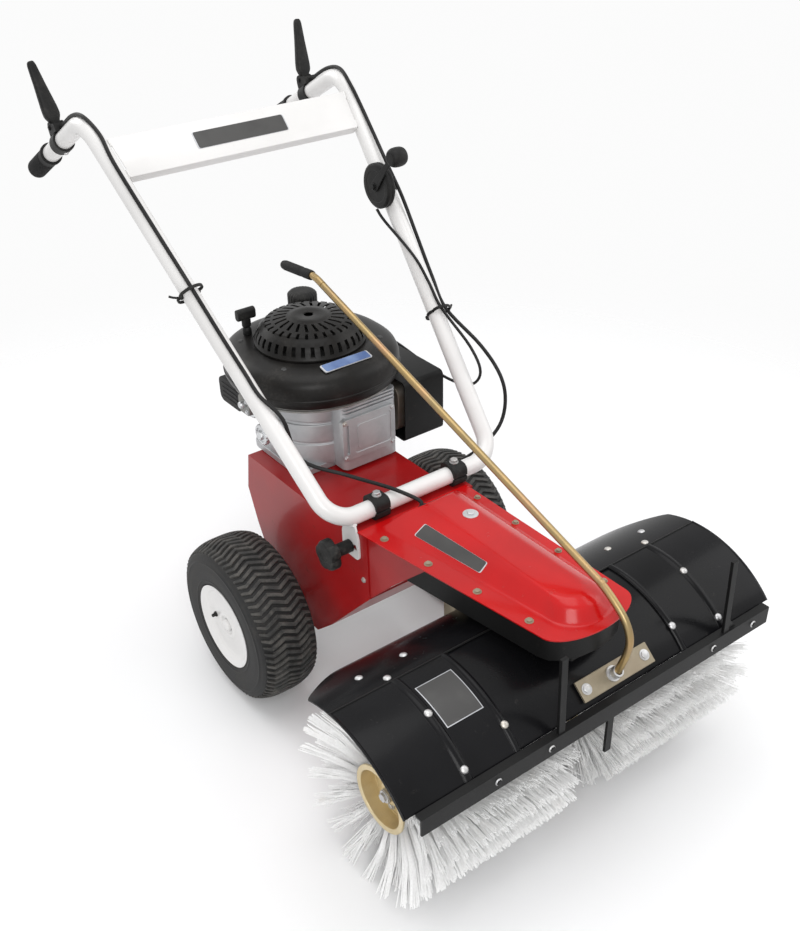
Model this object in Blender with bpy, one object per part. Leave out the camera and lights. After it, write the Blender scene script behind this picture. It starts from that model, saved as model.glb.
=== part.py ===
"""Walk-behind sweeping machine: two driven wheels, petrol engine, belt-driven brush head.

Metres, +Z up. X runs across the machine with +X at the operator's left, and -Y is the brush end.
Heights are above the ground. Pieces are built with Y = 0 at the wheel axle, under one empty that
moves them so that the origin lies on the ground, in the middle of the bounding box.
"""
import bmesh
import bpy
from math import acos, atan2, cos, pi, radians, sin, sqrt, tan
from mathutils import Vector

for old in list(bpy.data.objects):
    bpy.data.objects.remove(old, do_unlink=True)

# Clearance between pieces that touch, and of a shaft in its bore
GAP = 0.0003

# Wheels
TYRE_RADIUS = 0.165
TYRE_WIDTH = 0.125
WHEEL_STEPS = 24
RIM_WIDTH = 0.117
RIM_FLANGE_RADIUS = 0.087
RIM_WELL_RADIUS = 0.0765
RIM_LIP = 0.0045
RIM_SHEET = 0.004
DISC_RECESS = 0.028
WHEEL_TRACK = 0.495
AXLE_RADIUS = 0.0125
HUB_RADIUS = 0.024
HUB_LENGTH = 0.090
AXLE_CAP = 0.0045

# Brush and its gear case
BRUSH_REACH = 0.5439
BRUSH_RADIUS = 0.1726
BRUSH_HALF = 0.3326
CORE_RADIUS = 0.056
CORE_WALL = 0.004
CORE_START = 0.052
END_RING_RADIUS = 0.062
END_RING_WIDTH = 0.006
END_WEB_RECESS = 0.030
WEB = 0.005
BACKING = 0.0028
TUFT_ROWS = 10
TUFT_COLUMNS = 15
TUFT_ROOT = (0.0085, 0.011)
TUFT_TIP = (0.0105, 0.030)
SPLAY_OUT = 0.034
SPLAY_IN = 0.008
SHAFT_RADIUS = 0.0125
CASE_RADIUS = 0.050
CASE_HALF = 0.045
CASE_WALL = 0.006
NECK_RADIUS = 0.034
PINION_RADIUS = 0.015
PINION_TOP = 0.034
CROWN_RADIUS = 0.0375
CROWN_WIDTH = 0.010
TOOTH = 0.0025
PINION_TEETH = 6
CROWN_TEETH = 15

# Hood over the brush, with its angles in degrees up from the front
HOOD_CLEARANCE = 0.0369
HOOD_SHEET = 0.0025
HOOD_HALF = 0.400
HOOD_FRONT = 42.0
HOOD_SEAM = 95.0
HOOD_REAR = 140.0
HOOD_LAP = 4.0
REAR_CUT_ANGLE = 112.0
REAR_CUT_HALF = 0.278
OUTER_SEAM = 0.280
INNER_SEAM = 0.180
BEAD = 0.0028
BEAD_WIDTH = 0.010
SCREW_RADIUS = 0.0065
SCREW_HEIGHT = 0.004

# Front rail with its posts
RAIL_HALF = 0.382
RAIL_SHEET = 0.004
RAIL_DROP = 0.034
RAIL_LEDGE = 0.0155
RAIL_RISE = 0.0042
POST_RIGHT = 0.110
POST_LEFT = 0.270
POST_HEIGHT = 0.1445
POST_WIDTH = 0.013
POST_LEAN = 0.0055
STRAP_DROP = 0.1085
RAIL_BOLTS = (-0.239, -0.132, 0.239, 0.341)

# Rod plate and swivel rod
PLATE_ANGLE = 49.5
PLATE_LENGTH = 0.158
PLATE_WIDTH = 0.036
PLATE_SHEET = 0.004
PLATE_LIFT = 0.004
PLATE_OFFSET = 0.037
ROD_OFFSET = 0.030
ROD_RADIUS = 0.0065
ROD_TOP_Y = 0.0637
ROD_TOP_Z = 0.7693
ROD_GRIP_RADIUS = 0.0092
ROD_GRIP_LENGTH = 0.095

# Yoke and rear post of the head
YOKE_HALF = 0.058
YOKE_FRONT = 0.118
YOKE_ARM_HALF = 0.024
REAR_POST = 0.038
REAR_POST_OFFSET = 0.020
REAR_POST_FOOT = 0.240

# Belt drive, pulleys and idler
BELT_WIDTH = 0.010
BELT_DEPTH = 0.008
BELT_PLAY = 0.001
CRANK_BELT_RADIUS = 0.036
DRIVEN_BELT_RADIUS = 0.050
PULLEY_FLANGE = 0.0027
PULLEY_LIP = 0.002
IDLER_RADIUS = 0.019
IDLER_STANDOFF = 0.008
IDLER_Y = 0.345
ARM_PIVOT = (-0.100, -0.400)
ARM_TIP = (-0.080, -0.302)
ARM_SHEET = 0.004
ARM_WIDTH = 0.018
ARM_PIN = 0.0045

# Belt tray and nose cover
TRAY_CLEARANCE = 0.0009
TRAY_SHEET = 0.003
YOKE_THICKNESS = 0.0091
NOSE_HEIGHT = 0.449
NOSE_SHEET = 0.0025
TUB_HEIGHT = 0.031
NOSE_REAR = 0.242
NOSE_RIGHT_REAR = 0.147
NOSE_RIGHT_FRONT = 0.090
NOSE_LEFT = 0.095
NOSE_SHOULDER = 0.640
NOSE_FRONT = 0.686

# Chassis frame
DECK_CLEARANCE = 0.0056
CHASSIS_SHEET = 0.004
CHASSIS_REAR = 0.135
CHASSIS_FOOT = 0.120
REAR_BEND = (0.015, 0.080)
REAR_EDGE = (-0.010, 0.150)
TOE_Y = 0.125
TOE_RISE = 0.045
BRIDGE_SKIRT = 0.135
PLATE_INSET = 0.005
RISER_Y = 0.176
BRIDGE_FRONT = 0.262
CLAMP_EAR = 0.104
DECK_HOLE = 0.026

# Wheel gearbox
GEARBOX_HALF = 0.045
GEARBOX_REACH = 0.052
TOWER_TOP = 0.385
TOWER_HALF = 0.032
BORE_DEPTH = 0.042
AXLE_TUBE_RADIUS = 0.026

# Engine
ENGINE_X = -0.012
ENGINE_Y = 0.085
BASE_HEIGHT = 0.013
BASE_HALF = 0.100
CRANKCASE_RADIUS = 0.098
CRANKCASE_TOP = 0.576
TOP_PLATE_HALF = 0.150
TOP_PLATE = 0.0115
BARREL_FRONT = 0.045
BARREL_RIGHT = 0.035
BARREL_LEFT = 0.088
BARREL_TOP = 0.570
COVER_DEPTH = 0.007
COVER_FOOT = 0.457
COVER_HEIGHT = 0.086
SHROUD_HALF = 0.162
SHROUD_LENGTH = 0.165
SHROUD_HEIGHT = 0.064
STARTER_RADIUS = 0.104
STARTER_HEIGHT = 0.048
FILLER_X = 0.050
FILLER_Y = 0.205
FILLER_RADIUS = 0.023
FILLER_RISE = 0.012
CAP_RADIUS = 0.029
CAP_HEIGHT = 0.027
HANDLE_X = -0.094
HANDLE_Y = 0.174
CLEANER_LENGTH = 0.080
CLEANER_HEIGHT = 0.052
CLEANER_REACH = 0.152
CLEANER_DEPTH = 0.050
CARB_LENGTH = 0.038
CARB_HEIGHT = 0.036
CARB_DEPTH = 0.045
OIL_CAP_RADIUS = 0.021
OIL_CAP_Z = 0.484
MUFFLER_BASE = 0.462
MUFFLER_HEIGHT = 0.093
MUFFLER_LENGTH = 0.120
MUFFLER_DEPTH = 0.080
GUARD_SPACE = 0.014
GUARD_SHEET = 0.0025

# Handlebar
TUBE_RADIUS = 0.016
CROSSBAR_Y = 0.2176
CROSSBAR_Z = 0.4655
CORNER_HALF = 0.180
SHOULDER_HALF = 0.266
SHOULDER_Y = 0.357
SHOULDER_Z = 1.034
GRIP_END_Y = 0.637
GRIP_END_Z = 0.886
CORNER_FILLET = 0.055
SHOULDER_FILLET = 0.060
CLAMP_X = 0.0865
CLAMP_WIDTH = 0.030
CLAMP_DEPTH = 0.042
CLAMP_RISE = 0.006
GUSSET_SHEET = 0.004
GUSSET_WIDTH = 0.050
GUSSET_DROP = 0.080
KNOB_DROP = 0.0575
KNOB_RADIUS = 0.029
KNOB_DEPTH = 0.020
KNOB_SHANK = 0.036
STUD_RADIUS = 0.005
TILT_UP = 12.0
TILT_DOWN = 6.0
PANEL_LOW = 0.846
PANEL_HIGH = 0.942
PANEL_SHEET = 0.002
PANEL_LIP = 0.020
GRIP_RADIUS = 0.0185
GRIP_LENGTH = 0.110
GRIP_CAP = 0.006
GRIP_REACH = 0.0101

# Hand levers and throttle
LEVER_Y = 0.475
BAND_WIDTH = 0.022
BAND_WALL = 0.004
LEVER_RISE = 0.028
LEVER_PIN = 0.0025
LEVER_TIP = (0.279, 0.5226, 1.1039)
LEVER_BASE_WIDTH = 0.030
LEVER_TIP_WIDTH = 0.015
THROTTLE_Y = 0.1766
THROTTLE_LIFT = 0.022
THROTTLE_RADIUS = 0.042
THROTTLE_DEPTH = 0.018
THROTTLE_OFFSET = 0.003
THROTTLE_ARM = 0.0865
THROTTLE_BAND = 0.0025
THROTTLE_KNOB = 0.019

# Control cables
CABLE_RADIUS = 0.0035
CABLE_CLEAR = 0.0008
TIE_HEIGHT_RIGHT = 0.790
TIE_HEIGHT_LEFT = 0.672
TIE_WIDTH = 0.006
TIE_WALL = 0.0018

# Heights and places that follow from the sizes
AXLE_Z = TYRE_RADIUS
BRUSH_Y = -BRUSH_REACH
BRUSH_Z = BRUSH_RADIUS
HOOD_IN = BRUSH_RADIUS + HOOD_CLEARANCE
HOOD_OUT = HOOD_IN + HOOD_SHEET
SIDE_IN = HOOD_OUT + GAP
SIDE_OUT = SIDE_IN + HOOD_SHEET
YOKE_LOW = BRUSH_Z + SIDE_OUT * sin(radians(HOOD_SEAM)) + GAP
YOKE_TOP = YOKE_LOW + YOKE_THICKNESS
TRAY_LOW = YOKE_TOP + TRAY_CLEARANCE
TRAY_FLOOR = TRAY_LOW + TRAY_SHEET
NECK_TOP = TRAY_FLOOR + 0.001
PULLEY_LOW = NECK_TOP + 0.0025
BELT_LOW = PULLEY_LOW + PULLEY_FLANGE + GAP
BELT_TOP = BELT_LOW + BELT_WIDTH
PULLEY_TOP = BELT_TOP + GAP + PULLEY_FLANGE
ARM_LOW = PULLEY_TOP + 0.0006
DECK_HEIGHT = PULLEY_TOP + DECK_CLEARANCE
NOSE_LOW = NOSE_HEIGHT - NOSE_SHEET
BRIDGE_TOP = NOSE_LOW - GAP
SKIRT_LOW = BRIDGE_TOP - BRIDGE_SKIRT
CHASSIS_RIGHT = NOSE_RIGHT_REAR - PLATE_INSET
CHASSIS_LEFT = NOSE_LEFT - PLATE_INSET
RAIL_TOP = BRUSH_Z + SIDE_OUT * sin(radians(HOOD_FRONT)) + RAIL_RISE
RAIL_BACK = BRUSH_Y - (SIDE_OUT + BEAD) * cos(radians(HOOD_FRONT)) - GAP
RAIL_FRONT = RAIL_BACK - RAIL_LEDGE
ENGINE_LOW = DECK_HEIGHT + GAP
SHROUD_LOW = CRANKCASE_TOP + TOP_PLATE + GAP
SHROUD_TOP = SHROUD_LOW + SHROUD_HEIGHT
Y_FRONT = RAIL_FRONT - SCREW_HEIGHT
Y_REAR = GRIP_END_Y + GRIP_REACH
AXLE_Y = -(Y_FRONT + Y_REAR) / 2

MACHINE = bpy.data.objects.new("machine", None)
MACHINE.location = (0, AXLE_Y, 0)
bpy.context.collection.objects.link(MACHINE)


def paint(name, colour, metallic=0.0, roughness=0.5):
    """A Principled material."""
    stuff = bpy.data.materials.new(name)
    stuff.use_nodes = True
    shader = stuff.node_tree.nodes["Principled BSDF"]
    shader.inputs["Base Color"].default_value = (*colour, 1.0)
    shader.inputs["Metallic"].default_value = metallic
    shader.inputs["Roughness"].default_value = roughness
    return stuff


RED = paint("red_paint", (0.55, 0.02, 0.02), 0.0, 0.35)
WHITE = paint("white_paint", (0.86, 0.85, 0.82), 0.0, 0.4)
BLACK = paint("black_paint", (0.02, 0.02, 0.02), 0.0, 0.25)
PLASTIC = paint("black_plastic", (0.03, 0.03, 0.03), 0.0, 0.5)
RUBBER = paint("rubber", (0.025, 0.025, 0.025), 0.0, 0.85)
ALUMINIUM = paint("cast_aluminium", (0.45, 0.46, 0.47), 0.8, 0.45)
ZINC = paint("yellow_zinc", (0.62, 0.50, 0.28), 0.9, 0.35)
STEEL = paint("steel", (0.5, 0.5, 0.5), 1.0, 0.35)
BRISTLE = paint("bristle", (0.85, 0.84, 0.80), 0.0, 0.7)


def solid(name, bm, stuff, origin=(0, 0, 0), smooth=32):
    """Make one named piece, with its own origin, from points in the axle frame."""
    bmesh.ops.recalc_face_normals(bm, faces=bm.faces)
    bmesh.ops.translate(bm, verts=bm.verts, vec=-Vector(origin))
    mesh = bpy.data.meshes.new(name)
    bm.to_mesh(mesh)
    bm.free()
    mesh.materials.append(stuff)
    mesh.shade_smooth()
    mesh.set_sharp_from_angle(angle=radians(smooth))
    piece = bpy.data.objects.new(name, mesh)
    piece.location = origin
    piece.parent = MACHINE
    bpy.context.collection.objects.link(piece)
    return piece


def combine(piece, bm, operation):
    """Add a shape to a piece, or cut it away, with a Boolean."""
    stuff = piece.data.materials[0]
    tool = solid(f"{piece.name}_{operation.lower()}_{len(piece.modifiers)}", bm, stuff)
    tool.hide_render = True
    tool.display_type = "WIRE"
    step = piece.modifiers.new(tool.name, "BOOLEAN")
    step.operation = operation
    step.solver = "EXACT"
    step.object = tool


def join(piece, bm):
    combine(piece, bm, "UNION")


def cut(piece, bm):
    combine(piece, bm, "DIFFERENCE")


def bridge(bm, low, high):
    """Faces between two closed rows of corners, where a row may be a single point."""
    count = max(len(low), len(high))
    for i in range(count):
        j = (i + 1) % count
        corners = [low[i % len(low)], low[j % len(low)], high[j % len(high)], high[i % len(high)]]
        face = [c for n, c in enumerate(corners) if c not in corners[:n]]
        bm.faces.new(face)


def loft(bm, loops, closed=False):
    """Skin rows of points with equal counts, capped at both ends unless closed."""
    rows = [[bm.verts.new(point) for point in loop] for loop in loops]
    for low, high in zip(rows, rows[1:]):
        bridge(bm, low, high)
    if closed:
        bridge(bm, rows[-1], rows[0])
    else:
        bm.faces.new(rows[0])
        bm.faces.new(rows[-1])
    return bm


def prism(bm, outline, axis, low, high):
    """Extrude an outline in the YZ, XZ or XY plane along X, Y or Z."""
    place = {"X": lambda t, p: (t, p[0], p[1]), "Y": lambda t, p: (p[0], t, p[1]),
             "Z": lambda t, p: (p[0], p[1], t)}[axis]
    return loft(bm, [[place(low, p) for p in outline], [place(high, p) for p in outline]])


def box(bm, low, high):
    """A box between two corners."""
    outline = [(low[0], low[1]), (high[0], low[1]), (high[0], high[1]), (low[0], high[1])]
    return prism(bm, outline, "Z", low[2], high[2])


def turned(bm, profile, centre, direction, steps=24, teeth=()):
    """Turn (distance along the axis, radius) points about an axis. The rows in teeth are notched."""
    spin = Vector(direction).to_track_quat("Z", "Y").to_matrix()
    rows = []
    for number, (along, radius) in enumerate(profile):
        notch_along, notch_radius = dict(teeth).get(number, (0, 0))
        row = []
        for i in range(steps if radius else 1):
            angle = 2 * pi * i / steps
            r = radius - notch_radius * (i % 2)
            point = Vector((r * cos(angle), r * sin(angle), along - notch_along * (i % 2)))
            row.append(bm.verts.new(Vector(centre) + spin @ point))
        rows.append(row)
    for low, high in zip(rows, rows[1:]):
        bridge(bm, low, high)
    if profile[0][1] and profile[-1][1]:
        bridge(bm, rows[-1], rows[0])
    return bm


def rod(bm, start, end, radius, steps=12):
    """A plain round bar between two points."""
    axis = Vector(end) - Vector(start)
    return turned(bm, [(0, 0), (0, radius), (axis.length, radius), (axis.length, 0)], start, axis,
                  steps)


def bore(radius, steps=16):
    """Corner radius of a many-sided hole whose flats clear a shaft."""
    return (radius + GAP) / cos(pi / steps)


def screw_head(bm, seat, direction, radius=SCREW_RADIUS, height=SCREW_HEIGHT):
    """A screw head that stands on a face, sunk 1 mm into it."""
    turned(bm, [(-0.001, 0), (-0.001, radius), (height, radius * 0.75), (height, 0)], seat,
           direction, 6)


def sweep(bm, path, radius, sides=10):
    """A round tube along a path, with flat ends."""
    path = [Vector(p) for p in path]
    heading = (path[1] - path[0]).normalized()
    side = heading.orthogonal().normalized()
    loops = []
    for i, point in enumerate(path):
        before, after = path[max(i - 1, 0)], path[min(i + 1, len(path) - 1)]
        heading = (after - before).normalized()
        side = (side - heading * side.dot(heading)).normalized()
        up = heading.cross(side)
        loops.append([point + radius * (cos(2 * pi * k / sides) * side
                                        + sin(2 * pi * k / sides) * up) for k in range(sides)])
    return loft(bm, loops)


def filleted(corners, radii, steps=4):
    """A path through corners with each inner corner rounded."""
    corners = [Vector(c) for c in corners]
    path = [corners[0]]
    for before, corner, after, radius in zip(corners, corners[1:], corners[2:], radii):
        back, on = (before - corner).normalized(), (after - corner).normalized()
        half = acos(max(-1.0, min(1.0, back.dot(on)))) / 2
        middle = corner + (back + on).normalized() * radius / sin(half)
        start = corner + back * radius / tan(half) - middle
        end = corner + on * radius / tan(half) - middle
        whole = start.angle(end)
        for k in range(steps + 1):
            share = k / steps
            path.append(middle + (start * sin((1 - share) * whole) + end * sin(share * whole))
                        / sin(whole))
    path.append(corners[-1])
    return path


def smooth_route(points, parts=3):
    """A smooth curve through the points of a route."""
    points = [Vector(p) for p in points]
    ends = [2 * points[0] - points[1]] + points + [2 * points[-1] - points[-2]]
    path = []
    for a, b, c, d in zip(ends, ends[1:], ends[2:], ends[3:]):
        for k in range(parts):
            t = k / parts
            path.append(0.5 * ((2 * b) + (c - a) * t + (2 * a - 5 * b + 4 * c - d) * t * t
                               + (3 * b - a - 3 * c + d) * t ** 3))
    path.append(points[-1])
    return path


def superellipse(cx, cy, half_x, half_y, z, count=24, power=2.15):
    """A rounded outline at one height."""
    loop = []
    for k in range(count):
        angle = 2 * pi * k / count
        c, s = cos(angle), sin(angle)
        scale = (abs(c) ** power + abs(s) ** power) ** (-1 / power)
        loop.append((cx + half_x * c * scale, cy + half_y * s * scale, z))
    return loop


def rounded_box(bm, low, high, radius, axis="Z", steps=3):
    """A box whose four edges along one axis are rounded."""
    a, b = {"X": (1, 2), "Y": (0, 2), "Z": (0, 1)}[axis]
    t = {"X": 0, "Y": 1, "Z": 2}[axis]
    outline = []
    for u, v, start in ((high[a] - radius, high[b] - radius, 0), (low[a] + radius, high[b] - radius, 1),
                        (low[a] + radius, low[b] + radius, 2), (high[a] - radius, low[b] + radius, 3)):
        for k in range(steps + 1):
            angle = (start + k / steps) * pi / 2
            outline.append((u + radius * cos(angle), v + radius * sin(angle)))
    return prism(bm, outline, axis, low[t], high[t])


def wheel(side, word):
    """One wheel: a pressed rim with a hub, and its tyre. side is +1 at the operator's left."""
    centre = (side * WHEEL_TRACK / 2, 0, AXLE_Z)
    half, lip = RIM_WIDTH / 2, RIM_LIP
    well, inside = RIM_WELL_RADIUS, RIM_WELL_RADIUS - RIM_SHEET
    disc, hub = half - DISC_RECESS, HUB_LENGTH / 2
    wall = RIM_SHEET / 2
    hole = bore(AXLE_RADIUS, WHEEL_STEPS)
    rim = [(-half, RIM_FLANGE_RADIUS), (lip - half, well), (half - lip, well), (half, RIM_FLANGE_RADIUS),
           (half - wall, inside), (disc + wall, inside), (disc + wall, HUB_RADIUS), (hub, HUB_RADIUS),
           (hub, hole), (-hub, hole), (-hub, HUB_RADIUS), (disc - wall, HUB_RADIUS),
           (disc - wall, inside), (wall - half, inside)]
    solid(f"rim_{word}", turned(bmesh.new(), rim, centre, (side, 0, 0), WHEEL_STEPS), WHITE, centre)
    wide = TYRE_WIDTH / 2
    right = [(half - lip - GAP, well + GAP), (half, RIM_FLANGE_RADIUS + 2 * GAP),
             (wide, TYRE_RADIUS - 0.045), (wide - 0.0050, TYRE_RADIUS - 0.012),
             (wide - 0.0250, TYRE_RADIUS)]
    tyre = right + [(-a, r) for a, r in reversed(right)]
    solid(f"tyre_{word}", turned(bmesh.new(), tyre, centre, (side, 0, 0), WHEEL_STEPS), RUBBER, centre)


def axle():
    """The wheel axle, through the gearbox and both hubs, with a cap over each hub's end."""
    end = WHEEL_TRACK / 2 + HUB_LENGTH / 2 + GAP
    cap = end + AXLE_CAP
    profile = [(-cap, 0), (-cap, HUB_RADIUS * 0.7), (-end, HUB_RADIUS * 0.7), (-end, AXLE_RADIUS),
               (end, AXLE_RADIUS), (end, HUB_RADIUS * 0.7), (cap, HUB_RADIUS * 0.7), (cap, 0)]
    centre = (0, 0, AXLE_Z)
    solid("wheel_axle", turned(bmesh.new(), profile, centre, (1, 0, 0), 12), STEEL, centre)


def nose_edge(y):
    """Distance from the middle plane to the nose flange's right edge at a given Y."""
    share = (-NOSE_REAR - y) / (NOSE_SHOULDER - NOSE_REAR)
    return NOSE_RIGHT_REAR + (NOSE_RIGHT_FRONT - NOSE_RIGHT_REAR) * share


def nose_outline(z, right_in, left_in, front_in, rear_in, taper=0.0):
    """An outline inside the nose flange's, drawn in from each of its edges."""
    rear, shoulder, front = -NOSE_REAR - rear_in, -NOSE_SHOULDER + front_in, -NOSE_FRONT + front_in
    points = []
    for k in range(5):
        y = rear + (shoulder - rear) * k / 4
        points.append((-(nose_edge(y) - right_in + taper * k / 4), y, z))
    left = NOSE_LEFT - left_in
    right = points[-1][0]
    for k in range(1, 8):
        angle = pi * k / 8
        x = (left + right) / 2 - (left - right) / 2 * cos(angle)
        points.append((x, shoulder + (front - shoulder) * sin(angle), z))
    for k in range(5):
        points.append((left, shoulder + (rear - shoulder) * k / 4, z))
    return points


def cable_hole():
    """Where the brush cable enters the rear slope of the nose cover, and its direction there."""
    return Vector((-0.030, -NOSE_REAR - 0.0325, NOSE_HEIGHT + 0.018)), Vector((0, -0.74, -0.67))


def nose_cover():
    """The red cover over the belt: a flange with a raised tub, open underneath."""
    wall, top = NOSE_SHEET, NOSE_HEIGHT + TUB_HEIGHT
    middle = NOSE_HEIGHT + TUB_HEIGHT * 0.72
    tub = (0.042, 0.022, 0.018, 0.014)
    shoulder = (0.087, 0.048, 0.034, 0.030, 0.033)
    ridge = (0.115, 0.067, 0.054, 0.043, 0.053)
    loops = [nose_outline(NOSE_LOW, 0, 0, 0, 0), nose_outline(NOSE_HEIGHT, 0, 0, 0, 0),
             nose_outline(NOSE_HEIGHT, *tub), nose_outline(middle, *shoulder), nose_outline(top, *ridge)]
    inner = [nose_outline(top - wall, *ridge),
             nose_outline(middle - wall, *(s + wall / 2 for s in shoulder[:4]), shoulder[4]),
             nose_outline(NOSE_LOW, *(t + wall for t in tub))]
    bm = bmesh.new()
    rows = [[bm.verts.new(p) for p in loop] for loop in loops + inner]
    for low, high in zip(rows[:5], rows[1:5]):
        bridge(bm, low, high)
    bm.faces.new(rows[4])
    bm.faces.new(rows[5])
    bridge(bm, rows[5], rows[6])
    bridge(bm, rows[6], rows[7])
    bridge(bm, rows[7], rows[0])
    cover = solid("nose_cover", bm, RED)
    heads = bmesh.new()
    for y in (-0.2886, -0.3905, -0.497, -0.6024):
        screw_head(heads, (0.017 - nose_edge(y), y, NOSE_HEIGHT), (0, 0, 1))
        screw_head(heads, (NOSE_LEFT - 0.012, y, NOSE_HEIGHT), (0, 0, 1), 0.005)
    screw_head(heads, (0.010, -0.356, top), (0, 0, 1), 0.0095, 0.003)
    join(cover, heads)
    place, heading = cable_hole()
    cut(cover, rod(bmesh.new(), place - heading * 0.008, place + heading * 0.012,
                   CABLE_RADIUS + 3 * CABLE_CLEAR, 10))


def tray_inset():
    return PLATE_INSET + CHASSIS_SHEET + GAP


def belt_tray():
    """The black tray under the nose cover, with a hole for the gear case's neck."""
    inset = tray_inset()
    sides = (inset, inset, 0.012, BRIDGE_FRONT - NOSE_REAR + GAP)
    inner = tuple(s + TRAY_SHEET for s in sides)
    top = BRIDGE_TOP
    bm = loft(bmesh.new(), [nose_outline(TRAY_FLOOR, *inner), nose_outline(top, *inner),
                            nose_outline(top, *sides), nose_outline(TRAY_LOW, *sides)])
    tray = solid("belt_tray", bm, BLACK)
    cut(tray, rod(bmesh.new(), (0, BRUSH_Y, TRAY_LOW - 0.01), (0, BRUSH_Y, TRAY_FLOOR + 0.004),
                  bore(NECK_RADIUS, 20), 20))
    reach = DRIVEN_BELT_RADIUS + BELT_DEPTH + 0.012
    rear = -BRIDGE_FRONT
    cut(tray, box(bmesh.new(), (-reach, rear - 0.02, BELT_LOW - 0.005), (reach, rear + 0.02, top + 0.02)))


def hood_point(x, angle, radius):
    """A point at an angle up from the front about the brush axis."""
    a = radians(angle)
    return (x, BRUSH_Y - radius * cos(a), BRUSH_Z + radius * sin(a))


def hood_angles(start, end, step=7.5):
    """Angles every few degrees, counted from the front edge so that nested sheets line up."""
    count = int(round((end - start) / step))
    return [start + (end - start) * k / count for k in range(count + 1)]


def hood_normal(angle):
    return (0, -cos(radians(angle)), sin(radians(angle)))


def neck_room():
    """The shape of the hole in the hood for the gear case's neck."""
    return rod(bmesh.new(), (0, BRUSH_Y, BRUSH_Z + HOOD_IN - 0.02), (0, BRUSH_Y, YOKE_LOW + 0.01),
               NECK_RADIUS + 0.003, 20)


def hood_centre():
    """The middle sheet of the hood, which runs on under the rear panel."""
    loops = [[hood_point(x, a, r) for x, r in ((-OUTER_SEAM, HOOD_IN), (OUTER_SEAM, HOOD_IN),
                                               (OUTER_SEAM, HOOD_OUT), (-OUTER_SEAM, HOOD_OUT))]
             for a in hood_angles(HOOD_FRONT, HOOD_SEAM) + [HOOD_SEAM + HOOD_LAP]]
    sheet = solid("hood_centre", loft(bmesh.new(), loops), BLACK)
    cut(sheet, neck_room())


def hood_side(side, word):
    """An end sheet of the hood, lapped over the middle one, with two raised beads."""
    profile = [(INNER_SEAM, SIDE_IN), (INNER_SEAM, SIDE_OUT + BEAD),
               (INNER_SEAM + BEAD_WIDTH, SIDE_OUT + BEAD),
               (INNER_SEAM + BEAD_WIDTH + BEAD, SIDE_OUT),
               (OUTER_SEAM - BEAD_WIDTH / 2 - BEAD, SIDE_OUT),
               (OUTER_SEAM - BEAD_WIDTH / 2, SIDE_OUT + BEAD),
               (OUTER_SEAM + BEAD_WIDTH / 2, SIDE_OUT + BEAD),
               (OUTER_SEAM + BEAD_WIDTH / 2 + BEAD, SIDE_OUT),
               (HOOD_HALF, SIDE_OUT), (HOOD_HALF, SIDE_IN)]
    loops = [[hood_point(side * x, a, r) for x, r in profile] for a in hood_angles(HOOD_FRONT, HOOD_SEAM)]
    sheet = solid(f"hood_{word}", loft(bmesh.new(), loops), BLACK)
    heads = bmesh.new()
    for x, angle in ((OUTER_SEAM, 73), (OUTER_SEAM, 47), (INNER_SEAM + BEAD_WIDTH / 2, 54)):
        screw_head(heads, hood_point(side * x, angle, SIDE_OUT + BEAD - 0.0006), hood_normal(angle))
    join(sheet, heads)


def hood_rear_panel():
    """The panel behind the hood's top seam, with its lower corners cut off."""
    start = HOOD_SEAM + 0.15
    angles = [start, HOOD_SEAM + HOOD_LAP, 105.5, REAR_CUT_ANGLE, 119, 126, 133, HOOD_REAR]
    loops = []
    for a in angles:
        share = max(0.0, (a - REAR_CUT_ANGLE) / (HOOD_REAR - REAR_CUT_ANGLE))
        half = HOOD_HALF + (REAR_CUT_HALF - HOOD_HALF) * share
        loops.append([hood_point(x, a, r) for x, r in ((-half, SIDE_IN), (half, SIDE_IN),
                                                      (half, SIDE_OUT), (-half, SIDE_OUT))])
    panel = solid("hood_rear_panel", loft(bmesh.new(), loops), BLACK)
    heads = bmesh.new()
    for x, angle in ((0.314, 108), (0.285, 98.5), (0.228, 108)):
        for side in (-1, 1):
            screw_head(heads, hood_point(side * x, angle, SIDE_OUT - 0.0004), hood_normal(angle))
    join(panel, heads)
    cut(panel, neck_room())


def front_rail():
    """The angle along the hood's front edge, with two posts and a hanging strap welded on."""
    low = RAIL_TOP - RAIL_DROP
    outline = [(RAIL_FRONT, low), (RAIL_FRONT + RAIL_SHEET, low),
               (RAIL_FRONT + RAIL_SHEET, RAIL_TOP - RAIL_SHEET), (RAIL_BACK, RAIL_TOP - RAIL_SHEET),
               (RAIL_BACK, RAIL_TOP), (RAIL_FRONT, RAIL_TOP)]
    rail = solid("front_rail", prism(bmesh.new(), outline, "X", -RAIL_HALF, RAIL_HALF), BLACK)
    for x in (-POST_RIGHT, POST_LEFT):
        a, b = x - POST_WIDTH / 2, x + POST_WIDTH / 2
        c, d = RAIL_FRONT + 0.002, RAIL_FRONT + 0.008
        foot, head = RAIL_TOP - 0.002, RAIL_TOP + POST_HEIGHT
        lean = POST_LEAN
        post = [[(a, c, foot), (b, c, foot), (b, d, foot), (a, d, foot)],
                [(a, c + lean, head), (b, c + lean, head), (b, d + lean, head), (a, d + lean, head)]]
        join(rail, loft(bmesh.new(), post))
    a = POST_LEFT + POST_WIDTH / 2 - 0.002
    web = [(a, RAIL_TOP - 0.002), (a + 0.024, RAIL_TOP - 0.002), (a, RAIL_TOP + 0.026)]
    join(rail, prism(bmesh.new(), web, "Y", RAIL_FRONT + 0.0045, RAIL_FRONT + 0.0075))
    join(rail, box(bmesh.new(), (-POST_WIDTH / 2, RAIL_FRONT + 0.002, RAIL_TOP - STRAP_DROP),
                   (POST_WIDTH / 2, RAIL_FRONT + 0.007, RAIL_TOP - 0.008)))
    heads = bmesh.new()
    for x in RAIL_BOLTS:
        screw_head(heads, (x, RAIL_FRONT, RAIL_TOP - RAIL_DROP / 2), (0, -1, 0))
    join(rail, heads)


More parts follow.
